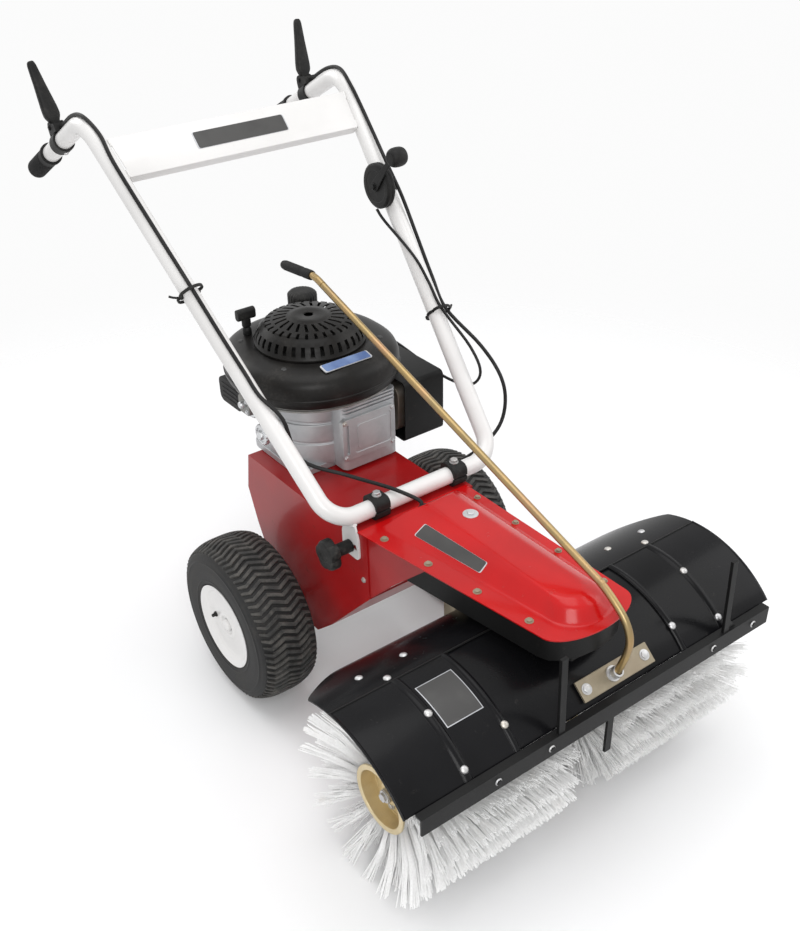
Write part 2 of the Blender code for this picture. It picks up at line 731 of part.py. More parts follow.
def plate_frame():
    """Origin on the hood, outward normal and up-slope direction of the rod plate."""
    normal = Vector(hood_normal(PLATE_ANGLE))
    along = Vector((0, sin(radians(PLATE_ANGLE)), cos(radians(PLATE_ANGLE))))
    return Vector(hood_point(PLATE_OFFSET, PLATE_ANGLE, HOOD_OUT)), normal, along


def rod_plate():
    """The zinc plate on the hood that holds the foot of the swivel rod, on two spacers."""
    origin, normal, along = plate_frame()
    across = Vector((1, 0, 0))
    half, wide = PLATE_LENGTH / 2, PLATE_WIDTH / 2
    corners = [(-half, -wide), (half, -wide), (half, wide), (-half, wide)]
    loops = [[origin + across * u + along * v + normal * n for u, v in corners]
             for n in (PLATE_LIFT, PLATE_LIFT + PLATE_SHEET)]
    plate = solid("rod_plate", loft(bmesh.new(), loops), ZINC)
    for side in (-1, 1):
        seat = origin + across * side * (half - 0.014)
        join(plate, rod(bmesh.new(), seat + normal * GAP, seat + normal * (PLATE_LIFT + 0.001), 0.009, 8))
        heads = bmesh.new()
        screw_head(heads, seat + normal * (PLATE_LIFT + PLATE_SHEET), normal)
        join(plate, heads)


def rod_path():
    """The swivel rod's route: up from its plate, over the nose and back to the operator."""
    origin, normal, along = plate_frame()
    foot = origin + Vector((ROD_OFFSET - PLATE_OFFSET, 0, 0)) + normal * (PLATE_LIFT + PLATE_SHEET + GAP)
    nose = [(ROD_OFFSET, -0.7085, 0.392), (ROD_OFFSET, -0.7125, 0.424), (ROD_OFFSET, -0.7030, 0.450),
            (ROD_OFFSET, -0.6810, 0.4720), (ROD_OFFSET, -0.6405, 0.4960)]
    front, top = Vector(nose[-1]), Vector((0, ROD_TOP_Y, ROD_TOP_Z))
    run = [front.lerp(top, share) for share in (0.08, 0.92)]
    bend = [top + Vector((0, -0.014, -0.0045)), top + Vector((0, 0.013, 0.0025)),
            top + Vector((0, 0.040, 0.0005))]
    end = top + Vector((0, 0.0185 + ROD_GRIP_LENGTH, -0.0060))
    return smooth_route([foot, foot + normal * 0.004, foot + normal * 0.012] + nose + run + bend + [end], 2)


def swivel_rod():
    path = rod_path()
    solid("swivel_rod", sweep(bmesh.new(), path, ROD_RADIUS, 8), ZINC)
    end, heading = path[-1], (path[-1] - path[-2]).normalized()
    hole, length = bore(ROD_RADIUS, 12), ROD_GRIP_LENGTH
    profile = [(GRIP_CAP, 0), (GRIP_CAP, ROD_GRIP_RADIUS * 0.6), (-0.006, ROD_GRIP_RADIUS),
               (-length, ROD_GRIP_RADIUS), (-length, hole), (GAP, hole), (GAP, 0)]
    solid("swivel_rod_grip", turned(bmesh.new(), profile, end, heading, 12), PLASTIC)


def swivel_yoke():
    """The plate that carries the hood on the gear case's neck, with an arm to the rear post."""
    front, back = BRUSH_Y - YOKE_FRONT, BRUSH_Y + 0.060
    tail = rear_post_face() + REAR_POST
    outline = [(-YOKE_HALF, front + 0.02), (-YOKE_HALF * 0.7, front), (YOKE_HALF * 0.7, front),
               (YOKE_HALF, front + 0.02), (YOKE_HALF, back),
               (YOKE_ARM_HALF - REAR_POST_OFFSET, back + 0.03), (YOKE_ARM_HALF - REAR_POST_OFFSET, tail),
               (-YOKE_ARM_HALF - REAR_POST_OFFSET, tail), (-YOKE_ARM_HALF - REAR_POST_OFFSET, back + 0.03),
               (-YOKE_HALF, back)]
    yoke = solid("swivel_yoke", prism(bmesh.new(), outline, "Z", YOKE_LOW, YOKE_TOP), BLACK)
    cut(yoke, rod(bmesh.new(), (0, BRUSH_Y, YOKE_LOW - 0.01), (0, BRUSH_Y, YOKE_TOP + 0.01),
                  bore(NECK_RADIUS, 20), 20))


def rear_post_face():
    """Front face of the rear post, against the hood's rear edge."""
    return hood_point(0, HOOD_REAR, SIDE_OUT)[1] + GAP


def rear_post():
    half, face = REAR_POST / 2, rear_post_face()
    bm = rounded_box(bmesh.new(), (-REAR_POST_OFFSET - half, face, REAR_POST_FOOT),
                     (-REAR_POST_OFFSET + half, face + REAR_POST, YOKE_LOW - GAP), 0.006)
    solid("rear_post", bm, ZINC)


def gear_case():
    """The bevel gear case between the brush halves, with its neck up to the belt tray."""
    centre = (0, BRUSH_Y, BRUSH_Z)
    body = [(-CASE_HALF, 0), (-CASE_HALF, CASE_RADIUS - 0.010), (0.006 - CASE_HALF, CASE_RADIUS),
            (CASE_HALF - 0.006, CASE_RADIUS), (CASE_HALF, CASE_RADIUS - 0.010), (CASE_HALF, 0)]
    case = solid("gear_case", turned(bmesh.new(), body, centre, (1, 0, 0), 16), ALUMINIUM)
    low = BRUSH_Z + CASE_RADIUS * 0.5
    join(case, rod(bmesh.new(), (0, BRUSH_Y, low), (0, BRUSH_Y, NECK_TOP), NECK_RADIUS, 18))
    room, half, hole = CASE_RADIUS - CASE_WALL, CASE_HALF - CASE_WALL, bore(SHAFT_RADIUS, 14)
    end = CASE_HALF + 0.01
    inside = [(-end, 0), (-end, hole), (-half, hole), (-half, room), (half, room), (half, hole),
              (end, hole), (end, 0)]
    cut(case, turned(bmesh.new(), inside, centre, (1, 0, 0), 14))
    cut(case, rod(bmesh.new(), (0, BRUSH_Y, BRUSH_Z + SHAFT_RADIUS + 0.01), (0, BRUSH_Y, NECK_TOP + 0.01),
                  hole, 16))


def head_shafts():
    """The pinion shaft down the neck, the crown gear and the brush shaft it drives."""
    low = SHAFT_RADIUS + 0.002
    top = PULLEY_TOP + 0.006 - BRUSH_Z
    pinion = [(low, 0), (low, PINION_RADIUS), (PINION_TOP, PINION_RADIUS),
              (PINION_TOP, SHAFT_RADIUS - 0.001),
              (PINION_TOP + 0.008, SHAFT_RADIUS - 0.001), (PINION_TOP + 0.008, SHAFT_RADIUS),
              (top, SHAFT_RADIUS), (top, 0)]
    centre = (0, BRUSH_Y, BRUSH_Z)
    notched = {1: (0, TOOTH), 2: (0, TOOTH)}
    solid("pinion_shaft", turned(bmesh.new(), pinion, centre, (0, 0, 1), 2 * PINION_TEETH, notched), STEEL,
          centre)
    face = PINION_RADIUS + 2 * GAP
    hole = bore(SHAFT_RADIUS, 2 * CROWN_TEETH)
    crown = [(face, hole), (face, CROWN_RADIUS), (face + CROWN_WIDTH, CROWN_RADIUS - 0.002),
             (face + CROWN_WIDTH, hole)]
    teeth = {1: (-TOOTH, 0)}
    solid("crown_gear", turned(bmesh.new(), crown, centre, (1, 0, 0), 2 * CROWN_TEETH, teeth), STEEL, centre)
    end = BRUSH_HALF - 0.012
    bm = rod(bmesh.new(), (-end, BRUSH_Y, BRUSH_Z), (end, BRUSH_Y, BRUSH_Z), SHAFT_RADIUS, 12)
    solid("brush_shaft", bm, STEEL, centre)


def pulley_profile(belt_radius, inner):
    """A grooved pulley's rows, from its bore at the bottom to its bore at the top."""
    outer = belt_radius + BELT_DEPTH + PULLEY_LIP
    groove = belt_radius - BELT_PLAY
    return [(PULLEY_LOW, inner), (PULLEY_LOW, outer), (PULLEY_LOW + PULLEY_FLANGE, outer),
            (PULLEY_LOW + PULLEY_FLANGE, groove), (PULLEY_TOP - PULLEY_FLANGE, groove),
            (PULLEY_TOP - PULLEY_FLANGE, outer), (PULLEY_TOP, outer), (PULLEY_TOP, inner)]


def pulleys():
    """The pulley on the crankshaft, and the driven one on the pinion shaft."""
    foot, top = TOWER_TOP - BORE_DEPTH + 0.004, ENGINE_LOW + BORE_DEPTH - 0.004
    rows = [(foot, 0), (foot, SHAFT_RADIUS)] + pulley_profile(CRANK_BELT_RADIUS, SHAFT_RADIUS)
    rows += [(top, SHAFT_RADIUS), (top, 0)]
    place = (ENGINE_X, ENGINE_Y, 0)
    solid("crank_pulley", turned(bmesh.new(), rows, place, (0, 0, 1), 18), STEEL, place)
    rows = pulley_profile(DRIVEN_BELT_RADIUS, bore(SHAFT_RADIUS, 18))
    place = (0, BRUSH_Y, 0)
    solid("driven_pulley", turned(bmesh.new(), rows, place, (0, 0, 1), 18), STEEL, place)


def belt_outline(extra):
    """The belt's outline round both pulleys, so far outside its inner face."""
    ends = [(Vector((ENGINE_X, ENGINE_Y)), CRANK_BELT_RADIUS + extra),
            (Vector((0, BRUSH_Y)), DRIVEN_BELT_RADIUS + extra)]
    (rear, small), (front, large) = ends
    run = front - rear
    heading, lean = atan2(run.y, run.x), acos((small - large) / run.length)
    points = []
    for centre, radius, start, turn in ((rear, small, heading + lean, 2 * (pi - lean)),
                                        (front, large, heading - lean, 2 * lean)):
        for k in range(12):
            angle = start + turn * k / 11
            points.append((centre.x + radius * cos(angle), centre.y + radius * sin(angle)))
    return points


def drive_belt():
    inner, outer = belt_outline(0), belt_outline(BELT_DEPTH)
    loops = [[(x, y, z) for x, y in line] for line, z in ((inner, BELT_LOW), (outer, BELT_LOW),
                                                          (outer, BELT_TOP), (inner, BELT_TOP))]
    solid("drive_belt", loft(bmesh.new(), loops, closed=True), RUBBER)


def belt_side(y):
    """X of the belt's right-hand outer face at a given Y."""
    near = [p for p in belt_outline(BELT_DEPTH) if p[0] < ENGINE_X]
    rear = min(near, key=lambda p: (abs(p[1] - ENGINE_Y), p[0]))
    front = min(near, key=lambda p: (abs(p[1] - BRUSH_Y), p[0]))
    share = (y - rear[1]) / (front[1] - rear[1])
    return rear[0] + (front[0] - rear[0]) * share


def idler():
    """The belt clutch: an arm on the tray floor, and the pulley it swings against the belt."""
    centre = (belt_side(-IDLER_Y) - IDLER_STANDOFF - IDLER_RADIUS, -IDLER_Y)
    pivot, tip = Vector(ARM_PIVOT), Vector(ARM_TIP)
    way = (tip - pivot).normalized()
    across = Vector((way.y, -way.x)) * ARM_WIDTH / 2
    outline = []
    for base, turn in ((pivot, pi), (tip, 0)):
        for k in range(5):
            angle = turn + pi * (k / 4 - 0.5)
            step = way * cos(angle) * ARM_WIDTH / 2 + across * sin(angle)
            outline.append((base.x + step.x, base.y + step.y))
    top = ARM_LOW + ARM_SHEET
    origin = (pivot.x, pivot.y, 0)
    arm = solid("idler_arm", prism(bmesh.new(), outline, "Z", ARM_LOW, top), STEEL, origin)
    join(arm, rod(bmesh.new(), (pivot.x, pivot.y, TRAY_FLOOR + GAP), (pivot.x, pivot.y, top + 0.002),
                  ARM_WIDTH * 0.42, 8))
    join(arm, rod(bmesh.new(), (centre[0], centre[1], PULLEY_LOW), (centre[0], centre[1], top + 0.002),
                  ARM_PIN, 8))
    join(arm, rod(bmesh.new(), (tip.x, tip.y, top - 0.001), (tip.x, tip.y, top + 0.010), 0.003, 6))
    hole = bore(ARM_PIN)
    rows = [(BELT_LOW - 0.001, hole), (BELT_LOW - 0.001, IDLER_RADIUS), (BELT_TOP + 0.001, IDLER_RADIUS),
            (BELT_TOP + 0.001, hole)]
    place = (centre[0], centre[1], 0)
    solid("idler_pulley", turned(bmesh.new(), rows, place, (0, 0, 1), 16), STEEL, place)


def rear_corner(place, inward=0.0):
    """Y and Z of a corner of the frame's rear edge, from its offset and its drop below the deck."""
    return CHASSIS_REAR + place[0] - inward, DECK_HEIGHT - place[1]


def side_plate(side, corner):
    """One side plate: straight beside the deck, then following the nose flange's edge."""
    rear = [(CHASSIS_REAR, DECK_HEIGHT), rear_corner(REAR_BEND), rear_corner(REAR_EDGE),
            (0.050, CHASSIS_FOOT), (0.050 - TOE_Y, CHASSIS_FOOT), (-TOE_Y, CHASSIS_FOOT + TOE_RISE),
            (-BRIDGE_FRONT, SKIRT_LOW), (-BRIDGE_FRONT, BRIDGE_TOP), (-RISER_Y, BRIDGE_TOP),
            (-RISER_Y, DECK_HEIGHT)]
    low, high = sorted((side * corner, side * (corner - CHASSIS_SHEET)))
    front = [(-BRIDGE_FRONT + 0.002, SKIRT_LOW), (-0.316, SKIRT_LOW + 0.057), (-0.400, BRIDGE_TOP),
             (-BRIDGE_FRONT + 0.002, BRIDGE_TOP)]
    loops = []
    for sheet in (PLATE_INSET, PLATE_INSET + CHASSIS_SHEET):
        loops.append([(side * ((nose_edge(y) if side < 0 else NOSE_LEFT) - sheet), y, z) for y, z in front])
    return prism(bmesh.new(), rear, "X", low, high), loft(bmesh.new(), loops)


def chassis_frame():
    """The red frame: deck, side plates, raised bridge, sloping front plate and rear plate."""
    left, right, sheet = CHASSIS_LEFT, CHASSIS_RIGHT, CHASSIS_SHEET
    deck = box(bmesh.new(), (-right, -RISER_Y - 0.001, DECK_HEIGHT - sheet),
               (left, CHASSIS_REAR, DECK_HEIGHT))
    frame = solid("chassis_frame", deck, RED)
    for side, corner in ((-1, right), (1, left)):
        rear, front = side_plate(side, corner)
        join(frame, rear)
        join(frame, front)
    inner = sheet / 2
    step = [(-RISER_Y, DECK_HEIGHT - sheet), (-RISER_Y + sheet, DECK_HEIGHT - sheet),
            (-RISER_Y + sheet, BRIDGE_TOP), (-BRIDGE_FRONT, BRIDGE_TOP),
            (-BRIDGE_FRONT, BRIDGE_TOP - sheet), (-RISER_Y, BRIDGE_TOP - sheet)]
    join(frame, prism(bmesh.new(), step, "X", -right + inner, left - inner))
    join(frame, box(bmesh.new(), (left - sheet, -BRIDGE_FRONT + 0.012, BRIDGE_TOP - sheet),
                    (CLAMP_EAR, -RISER_Y - 0.006, BRIDGE_TOP)))
    toe, y = CHASSIS_FOOT + TOE_RISE, 0.050 - TOE_Y
    slope = [(y - 0.002, CHASSIS_FOOT + 0.001), (-TOE_Y - 0.002, toe + 0.001),
             (-BRIDGE_FRONT + 0.002, SKIRT_LOW - 0.002), (-BRIDGE_FRONT + 0.002, SKIRT_LOW + 0.003),
             (-TOE_Y + 0.001, toe + 0.005), (y + 0.002, CHASSIS_FOOT + 0.003)]
    join(frame, prism(bmesh.new(), slope, "X", -right + inner, left - inner))
    top = (0, 0.001)
    back = [rear_corner(top, 0.0005), rear_corner(REAR_BEND, 0.0005), rear_corner(REAR_EDGE, 0.0005),
            rear_corner(REAR_EDGE, sheet), rear_corner(REAR_BEND, sheet), rear_corner(top, sheet)]
    join(frame, prism(bmesh.new(), back, "X", -right + inner, left - inner))
    cut(frame, rod(bmesh.new(), (ENGINE_X, ENGINE_Y, DECK_HEIGHT - 0.02),
                   (ENGINE_X, ENGINE_Y, DECK_HEIGHT + 0.02),
                   DECK_HOLE, 16))
    cut(frame, rod(bmesh.new(), (-right - 0.02, 0, AXLE_Z), (left + 0.02, 0, AXLE_Z), bore(AXLE_RADIUS), 16))
    y, z = knob_seat()
    cut(frame, rod(bmesh.new(), (-right - 0.01, y, z), (-right + sheet + 0.01, y, z), bore(STUD_RADIUS, 10),
                   10))


def gearbox():
    """The wheel gearbox: a casting round the axle, with a tower up to the crankshaft."""
    z, reach = AXLE_Z, GEARBOX_REACH
    tower = (ENGINE_Y - TOWER_HALF, ENGINE_Y + TOWER_HALF)
    outline = [(-reach, z - 0.045), (reach, z - 0.045), (tower[1], z + 0.035), (tower[1], TOWER_TOP),
               (tower[0], TOWER_TOP), (tower[0], z + 0.090), (reach - 0.02, z + 0.060), (-reach, z + 0.050)]
    low, high = ENGINE_X - GEARBOX_HALF, ENGINE_X + GEARBOX_HALF
    case = solid("gearbox_case", prism(bmesh.new(), outline, "X", low, high), ALUMINIUM)
    ends = (-CHASSIS_RIGHT + CHASSIS_SHEET + GAP, CHASSIS_LEFT - CHASSIS_SHEET - GAP)
    join(case, rod(bmesh.new(), (ends[0], 0, z), (ends[1], 0, z), AXLE_TUBE_RADIUS, 18))
    cut(case, rod(bmesh.new(), (ends[0] - 0.01, 0, z), (ends[1] + 0.01, 0, z), bore(AXLE_RADIUS), 16))
    cut(case, rod(bmesh.new(), (ENGINE_X, ENGINE_Y, TOWER_TOP - BORE_DEPTH),
                  (ENGINE_X, ENGINE_Y, TOWER_TOP + 0.01),
                  bore(SHAFT_RADIUS), 16))


def crankcase():
    """The engine block: base flange, crankcase, barrel with its raised cover, and top plate."""
    x, y, low = ENGINE_X, ENGINE_Y, ENGINE_LOW
    bm = rounded_box(bmesh.new(), (x - BASE_HALF, y - BASE_HALF * 0.9, low),
                     (x + BASE_HALF, y + BASE_HALF * 0.9, low + BASE_HEIGHT), 0.030)
    block = solid("engine_crankcase", bm, ALUMINIUM)
    join(block, rod(bmesh.new(), (x, y, low + BASE_HEIGHT - 0.002), (x, y, CRANKCASE_TOP + 0.002),
                    CRANKCASE_RADIUS, 20))
    join(block, rounded_box(bmesh.new(), (-BARREL_RIGHT, -BARREL_FRONT, low + 0.006),
                            (BARREL_LEFT, y, BARREL_TOP), 0.012))
    front = -BARREL_FRONT - COVER_DEPTH
    join(block, rounded_box(bmesh.new(), (-BARREL_RIGHT - 0.006, front, COVER_FOOT),
                            (BARREL_LEFT - 0.010, -BARREL_FRONT + 0.004, COVER_FOOT + COVER_HEIGHT), 0.008,
                            "Y"))
    plate = [superellipse(x, y, TOP_PLATE_HALF, TOP_PLATE_HALF, z) for z in (CRANKCASE_TOP,
                                                                             CRANKCASE_TOP + TOP_PLATE)]
    join(block, loft(bmesh.new(), plate))
    neck = x - sqrt(CRANKCASE_RADIUS ** 2 - 0.009 ** 2)
    join(block, rod(bmesh.new(), (neck + 0.012, y + 0.009, OIL_CAP_Z), (neck - 0.012, y + 0.009, OIL_CAP_Z),
                    0.014, 12))
    cut(block, rod(bmesh.new(), (x, y, low - 0.01), (x, y, low + BORE_DEPTH), bore(SHAFT_RADIUS), 16))


def engine_covers():
    """The fan shroud with its filler neck, and the starter housing on top, filled by what they cover."""
    x, y = ENGINE_X, ENGINE_Y
    rows = ((0.0, 0.960), (0.014, 1.0), (0.042, 0.985), (0.058, 0.900), (SHROUD_HEIGHT, 0.730))
    loops = [superellipse(x, y, SHROUD_HALF * s, SHROUD_LENGTH * s, SHROUD_LOW + h) for h, s in rows]
    shroud = solid("fan_shroud", loft(bmesh.new(), loops), PLASTIC)
    join(shroud, rod(bmesh.new(), (FILLER_X, FILLER_Y, SHROUD_TOP - 0.020),
                     (FILLER_X, FILLER_Y, SHROUD_TOP + FILLER_RISE), FILLER_RADIUS, 14))
    r, h, base = STARTER_RADIUS, STARTER_HEIGHT, SHROUD_TOP + GAP
    dome = [(1.0, 0), (0.96, 0.35), (0.84, 0.68), (0.56, 0.91), (0.20, 1.0), (0, 1.0)]
    rows = [(h * a, r * b) for a, b in dome] + [(0, 0)]
    solid("starter_housing", turned(bmesh.new(), rows, (x, y, base), (0, 0, 1), 20), PLASTIC)


def engine_fittings():
    """Fuel cap, starter handle, air cleaner, carburettor and oil filler cap."""
    seat = SHROUD_TOP + FILLER_RISE + GAP
    cap = [(0, 0), (0, CAP_RADIUS), (CAP_HEIGHT * 0.8, CAP_RADIUS), (CAP_HEIGHT, CAP_RADIUS * 0.8),
           (CAP_HEIGHT, 0)]
    place = (FILLER_X, FILLER_Y, seat)
    solid("fuel_cap", turned(bmesh.new(), cap, place, (0, 0, 1), 16), PLASTIC, place)
    base = SHROUD_TOP + GAP
    place = (HANDLE_X, HANDLE_Y, base)
    bm = rounded_box(bmesh.new(), (HANDLE_X - 0.019, HANDLE_Y - 0.007, base + 0.018),
                     (HANDLE_X + 0.019, HANDLE_Y + 0.007, base + 0.052), 0.006)
    handle = solid("starter_handle", bm, PLASTIC, place)
    join(handle, rod(bmesh.new(), (HANDLE_X, HANDLE_Y, base), (HANDLE_X, HANDLE_Y, base + 0.020), 0.005, 10))
    side = ENGINE_X - CRANKCASE_RADIUS - GAP
    top = CRANKCASE_TOP - GAP
    rear = ENGINE_Y + CARB_LENGTH
    solid("carburettor", rounded_box(bmesh.new(), (side - CARB_DEPTH, ENGINE_Y, top - CARB_HEIGHT - 0.006),
                                     (side, rear, top - 0.006), 0.008, "X"), ALUMINIUM)
    solid("air_cleaner", rounded_box(bmesh.new(), (-CLEANER_REACH, rear + GAP, top - CLEANER_HEIGHT),
                                     (CLEANER_DEPTH - CLEANER_REACH, rear + GAP + CLEANER_LENGTH, top),
                                     0.014, "X"), PLASTIC)
    reach = ENGINE_X - sqrt(CRANKCASE_RADIUS ** 2 - 0.009 ** 2) - 0.012 - GAP
    place = (reach, ENGINE_Y + 0.009, OIL_CAP_Z)
    cap = [(0, 0), (0, OIL_CAP_RADIUS), (0.010, OIL_CAP_RADIUS), (0.014, OIL_CAP_RADIUS * 0.7), (0.014, 0)]
    solid("oil_cap", turned(bmesh.new(), cap, place, (-1, 0, 0), 12), STEEL, place)


def exhaust():
    """The muffler on the barrel's left side, and the guard round it."""
    start = BARREL_LEFT + GAP
    y0 = -BARREL_FRONT + 0.012
    low, high = (start + 0.012, y0, MUFFLER_BASE), (start + 0.012 + MUFFLER_DEPTH, y0 + MUFFLER_LENGTH,
                                                   MUFFLER_BASE + MUFFLER_HEIGHT)
    muffler = solid("muffler", rounded_box(bmesh.new(), low, high, 0.018, "X"), STEEL)
    join(muffler, rod(bmesh.new(), (start, 0.010, MUFFLER_BASE + 0.05),
                      (start + 0.014, 0.010, MUFFLER_BASE + 0.05),
                      0.016, 12))
    space, sheet = GUARD_SPACE, GUARD_SHEET
    pads = bmesh.new()
    for y in (y0 - space + 0.034, y0 - space + 0.112):
        rod(pads, (high[0] - 0.002, y, MUFFLER_BASE + 0.046),
            (high[0] + space - GAP, y, MUFFLER_BASE + 0.046), 0.006, 8)
    join(muffler, pads)
    a, b = (low[0] + 0.004, low[1] - space, low[2] - space), (high[0] + space, high[1] + space,
                                                              high[2] + space)
    outer = ((a[0], a[1] - sheet, a[2] - sheet), (b[0] + sheet, b[1] + sheet, b[2] + sheet))
    guard = solid("muffler_guard", rounded_box(bmesh.new(), *outer, 0.010, "X"), BLACK)
    cut(guard, rounded_box(bmesh.new(), (a[0] - 0.01, a[1], a[2]), b, 0.008, "X"))
    slots = bmesh.new()
    for k in range(5):
        y = a[1] + 0.016 + k * 0.026
        box(slots, (b[0] - 0.004, y, MUFFLER_BASE + 0.008), (b[0] + 0.01, y + 0.010, MUFFLER_BASE + 0.084))
    cut(guard, slots)


def tube_point(side, z):
    """Centre of the handlebar's sloping tube at a height."""
    share = (z - CROSSBAR_Z) / (SHOULDER_Z - CROSSBAR_Z)
    return Vector((side * (CORNER_HALF + (SHOULDER_HALF - CORNER_HALF) * share),
                   -CROSSBAR_Y + (SHOULDER_Y + CROSSBAR_Y) * share, z))


def grip_heading():
    return Vector((0, GRIP_END_Y - SHOULDER_Y, GRIP_END_Z - SHOULDER_Z)).normalized()


def tube_slope():
    """Unit vectors in the YZ plane, up the sloping tubes and square to them, towards the front."""
    up = Vector((0, SHOULDER_Y + CROSSBAR_Y, SHOULDER_Z - CROSSBAR_Z)).normalized()
    return up, Vector((0, -up.z, up.y))


def knob_seat():
    """Y and Z of the star knob's stud."""
    return -CROSSBAR_Y, CROSSBAR_Z - KNOB_DROP


def handlebar():
    """One bent tube, with the slotted gusset welded under the crossbar's right end."""
    origin = (0, -CROSSBAR_Y, CROSSBAR_Z)
    half = [(SHOULDER_HALF, GRIP_END_Y, GRIP_END_Z), (SHOULDER_HALF, SHOULDER_Y, SHOULDER_Z),
            (CORNER_HALF, -CROSSBAR_Y, CROSSBAR_Z)]
    corners = [(-x, y, z) for x, y, z in half] + list(reversed(half))
    radii = [SHOULDER_FILLET, CORNER_FILLET, CORNER_FILLET, SHOULDER_FILLET]
    bm = sweep(bmesh.new(), filleted(corners, radii), TUBE_RADIUS, 10)
    bar = solid("handlebar_tube", bm, WHITE, origin)
    y, z, w = -CROSSBAR_Y, CROSSBAR_Z, GUSSET_WIDTH / 2
    face = -CHASSIS_RIGHT - GAP
    outline = [(y - w * 0.55, z - TUBE_RADIUS * 0.4), (y - w, z - GUSSET_DROP * 0.45),
               (y - w, z - GUSSET_DROP + 0.006),
               (y - w + 0.006, z - GUSSET_DROP), (y + w - 0.006, z - GUSSET_DROP),
               (y + w, z - GUSSET_DROP + 0.006),
               (y + w, z - GUSSET_DROP * 0.45), (y + w * 0.55, z - TUBE_RADIUS * 0.4)]
    join(bar, prism(bmesh.new(), outline, "X", face - GUSSET_SHEET, face))
    slot, reach = [], bore(STUD_RADIUS, 10)
    for r, turn in ((KNOB_DROP + reach, 1), (KNOB_DROP - reach, -1)):
        angles = [-TILT_UP - 6 + (TILT_UP + TILT_DOWN + 12) * k / 6 for k in range(7)][::turn]
        slot += [(y + r * sin(radians(a)), z - r * cos(radians(a))) for a in angles]
    cut(bar, prism(bmesh.new(), slot, "X", face - GUSSET_SHEET - 0.01, face + 0.0002))


def crossbar_clamp(side, word):
    """A clamp block round the crossbar, standing on the chassis bridge."""
    x, half = side * CLAMP_X, CLAMP_WIDTH / 2
    top = CROSSBAR_Z + TUBE_RADIUS + CLAMP_RISE
    d = CLAMP_DEPTH / 2
    bm = rounded_box(bmesh.new(), (x - half, -CROSSBAR_Y - d, BRIDGE_TOP + GAP),
                     (x + half, -CROSSBAR_Y + d, top),
                     0.006, "X")
    clamp = solid(f"crossbar_clamp_{word}", bm, PLASTIC)
    nut = bmesh.new()
    screw_head(nut, (x, -CROSSBAR_Y, top), (0, 0, 1), 0.008, 0.008)
    join(clamp, nut)
    cut(clamp, rod(bmesh.new(), (x - half - 0.01, -CROSSBAR_Y, CROSSBAR_Z),
                   (x + half + 0.01, -CROSSBAR_Y, CROSSBAR_Z),
                   bore(TUBE_RADIUS), 16))


def star_knob():
    """The lobed knob and stud that lock the handlebar's gusset to the side plate."""
    y, z = knob_seat()
    origin = (-CHASSIS_RIGHT, y, z)
    inner = -CHASSIS_RIGHT - GUSSET_SHEET - 3 * GAP
    body = inner - KNOB_SHANK
    lobes = []
    for k in range(20):
        angle = 2 * pi * k / 20
        r = KNOB_RADIUS * (0.88 + 0.12 * cos(5 * angle))
        lobes.append((y + r * cos(angle), z + r * sin(angle)))
    knob = solid("star_knob", prism(bmesh.new(), lobes, "X", body - KNOB_DEPTH, body), PLASTIC, origin)
    join(knob, rod(bmesh.new(), (body - 0.002, y, z), (inner, y, z), 0.012, 14))
    join(knob, rod(bmesh.new(), (inner - 0.004, y, z), (-CHASSIS_RIGHT + CHASSIS_SHEET + 0.004, y, z),
                   STUD_RADIUS, 10))


def handlebar_panel():
    """The folded sheet between the sloping tubes, with a lip along each long edge."""
    up, front = tube_slope()
    sheet, lip = PANEL_SHEET, PANEL_LIP
    low, high = PANEL_LOW, PANEL_HIGH
    run = (tube_point(1, SHOULDER_Z) - tube_point(1, CROSSBAR_Z))
    length = sqrt(run.y ** 2 + run.z ** 2)
    s0, s1 = low * length, high * length
    profile = [(s0, -lip), (s0 + sheet, -lip), (s0 + sheet, -sheet), (s1 - sheet, -sheet),
               (s1 - sheet, -lip),
               (s1, -lip), (s1, 0), (s0, 0)]
    loops = []
    for side in (-1, 1):
        loop = []
        for s, n in profile:
            base = tube_point(side, CROSSBAR_Z + (SHOULDER_Z - CROSSBAR_Z) * s / length)
            x = abs(base.x) - TUBE_RADIUS - 2 * GAP
            at = Vector((side * x, base.y, base.z)) + front * (n + lip / 2)
            loop.append(at)
        loops.append(loop)
    solid("handlebar_panel", loft(bmesh.new(), loops), WHITE)


def grip(side, word):
    """A grip sleeve over the tube's end, closed at its tip."""
    heading = grip_heading()
    end = Vector((side * SHOULDER_HALF, GRIP_END_Y, GRIP_END_Z))
    hole, out, length = bore(TUBE_RADIUS, 12), GRIP_RADIUS, GRIP_LENGTH
    cap = GRIP_CAP * 0.7
    profile = [(cap, 0), (cap, out * 0.75), (-0.005, out), (0.009 - length, out),
               (0.006 - length, out + 0.002),
               (-length, out + 0.002), (-length, hole), (GAP, hole), (GAP, 0)]
    solid(f"grip_{word}", turned(bmesh.new(), profile, end, heading, 12), PLASTIC)


def lever_pivot(side):
    """Centre of the lever's pivot, above the band on the tube."""
    heading = grip_heading()
    share = (LEVER_Y - SHOULDER_Y) / heading.y
    base = Vector((side * SHOULDER_HALF, SHOULDER_Y, SHOULDER_Z)) + heading * share
    normal = Vector((0, -heading.z, heading.y))
    return base, base + normal * LEVER_RISE, heading, normal


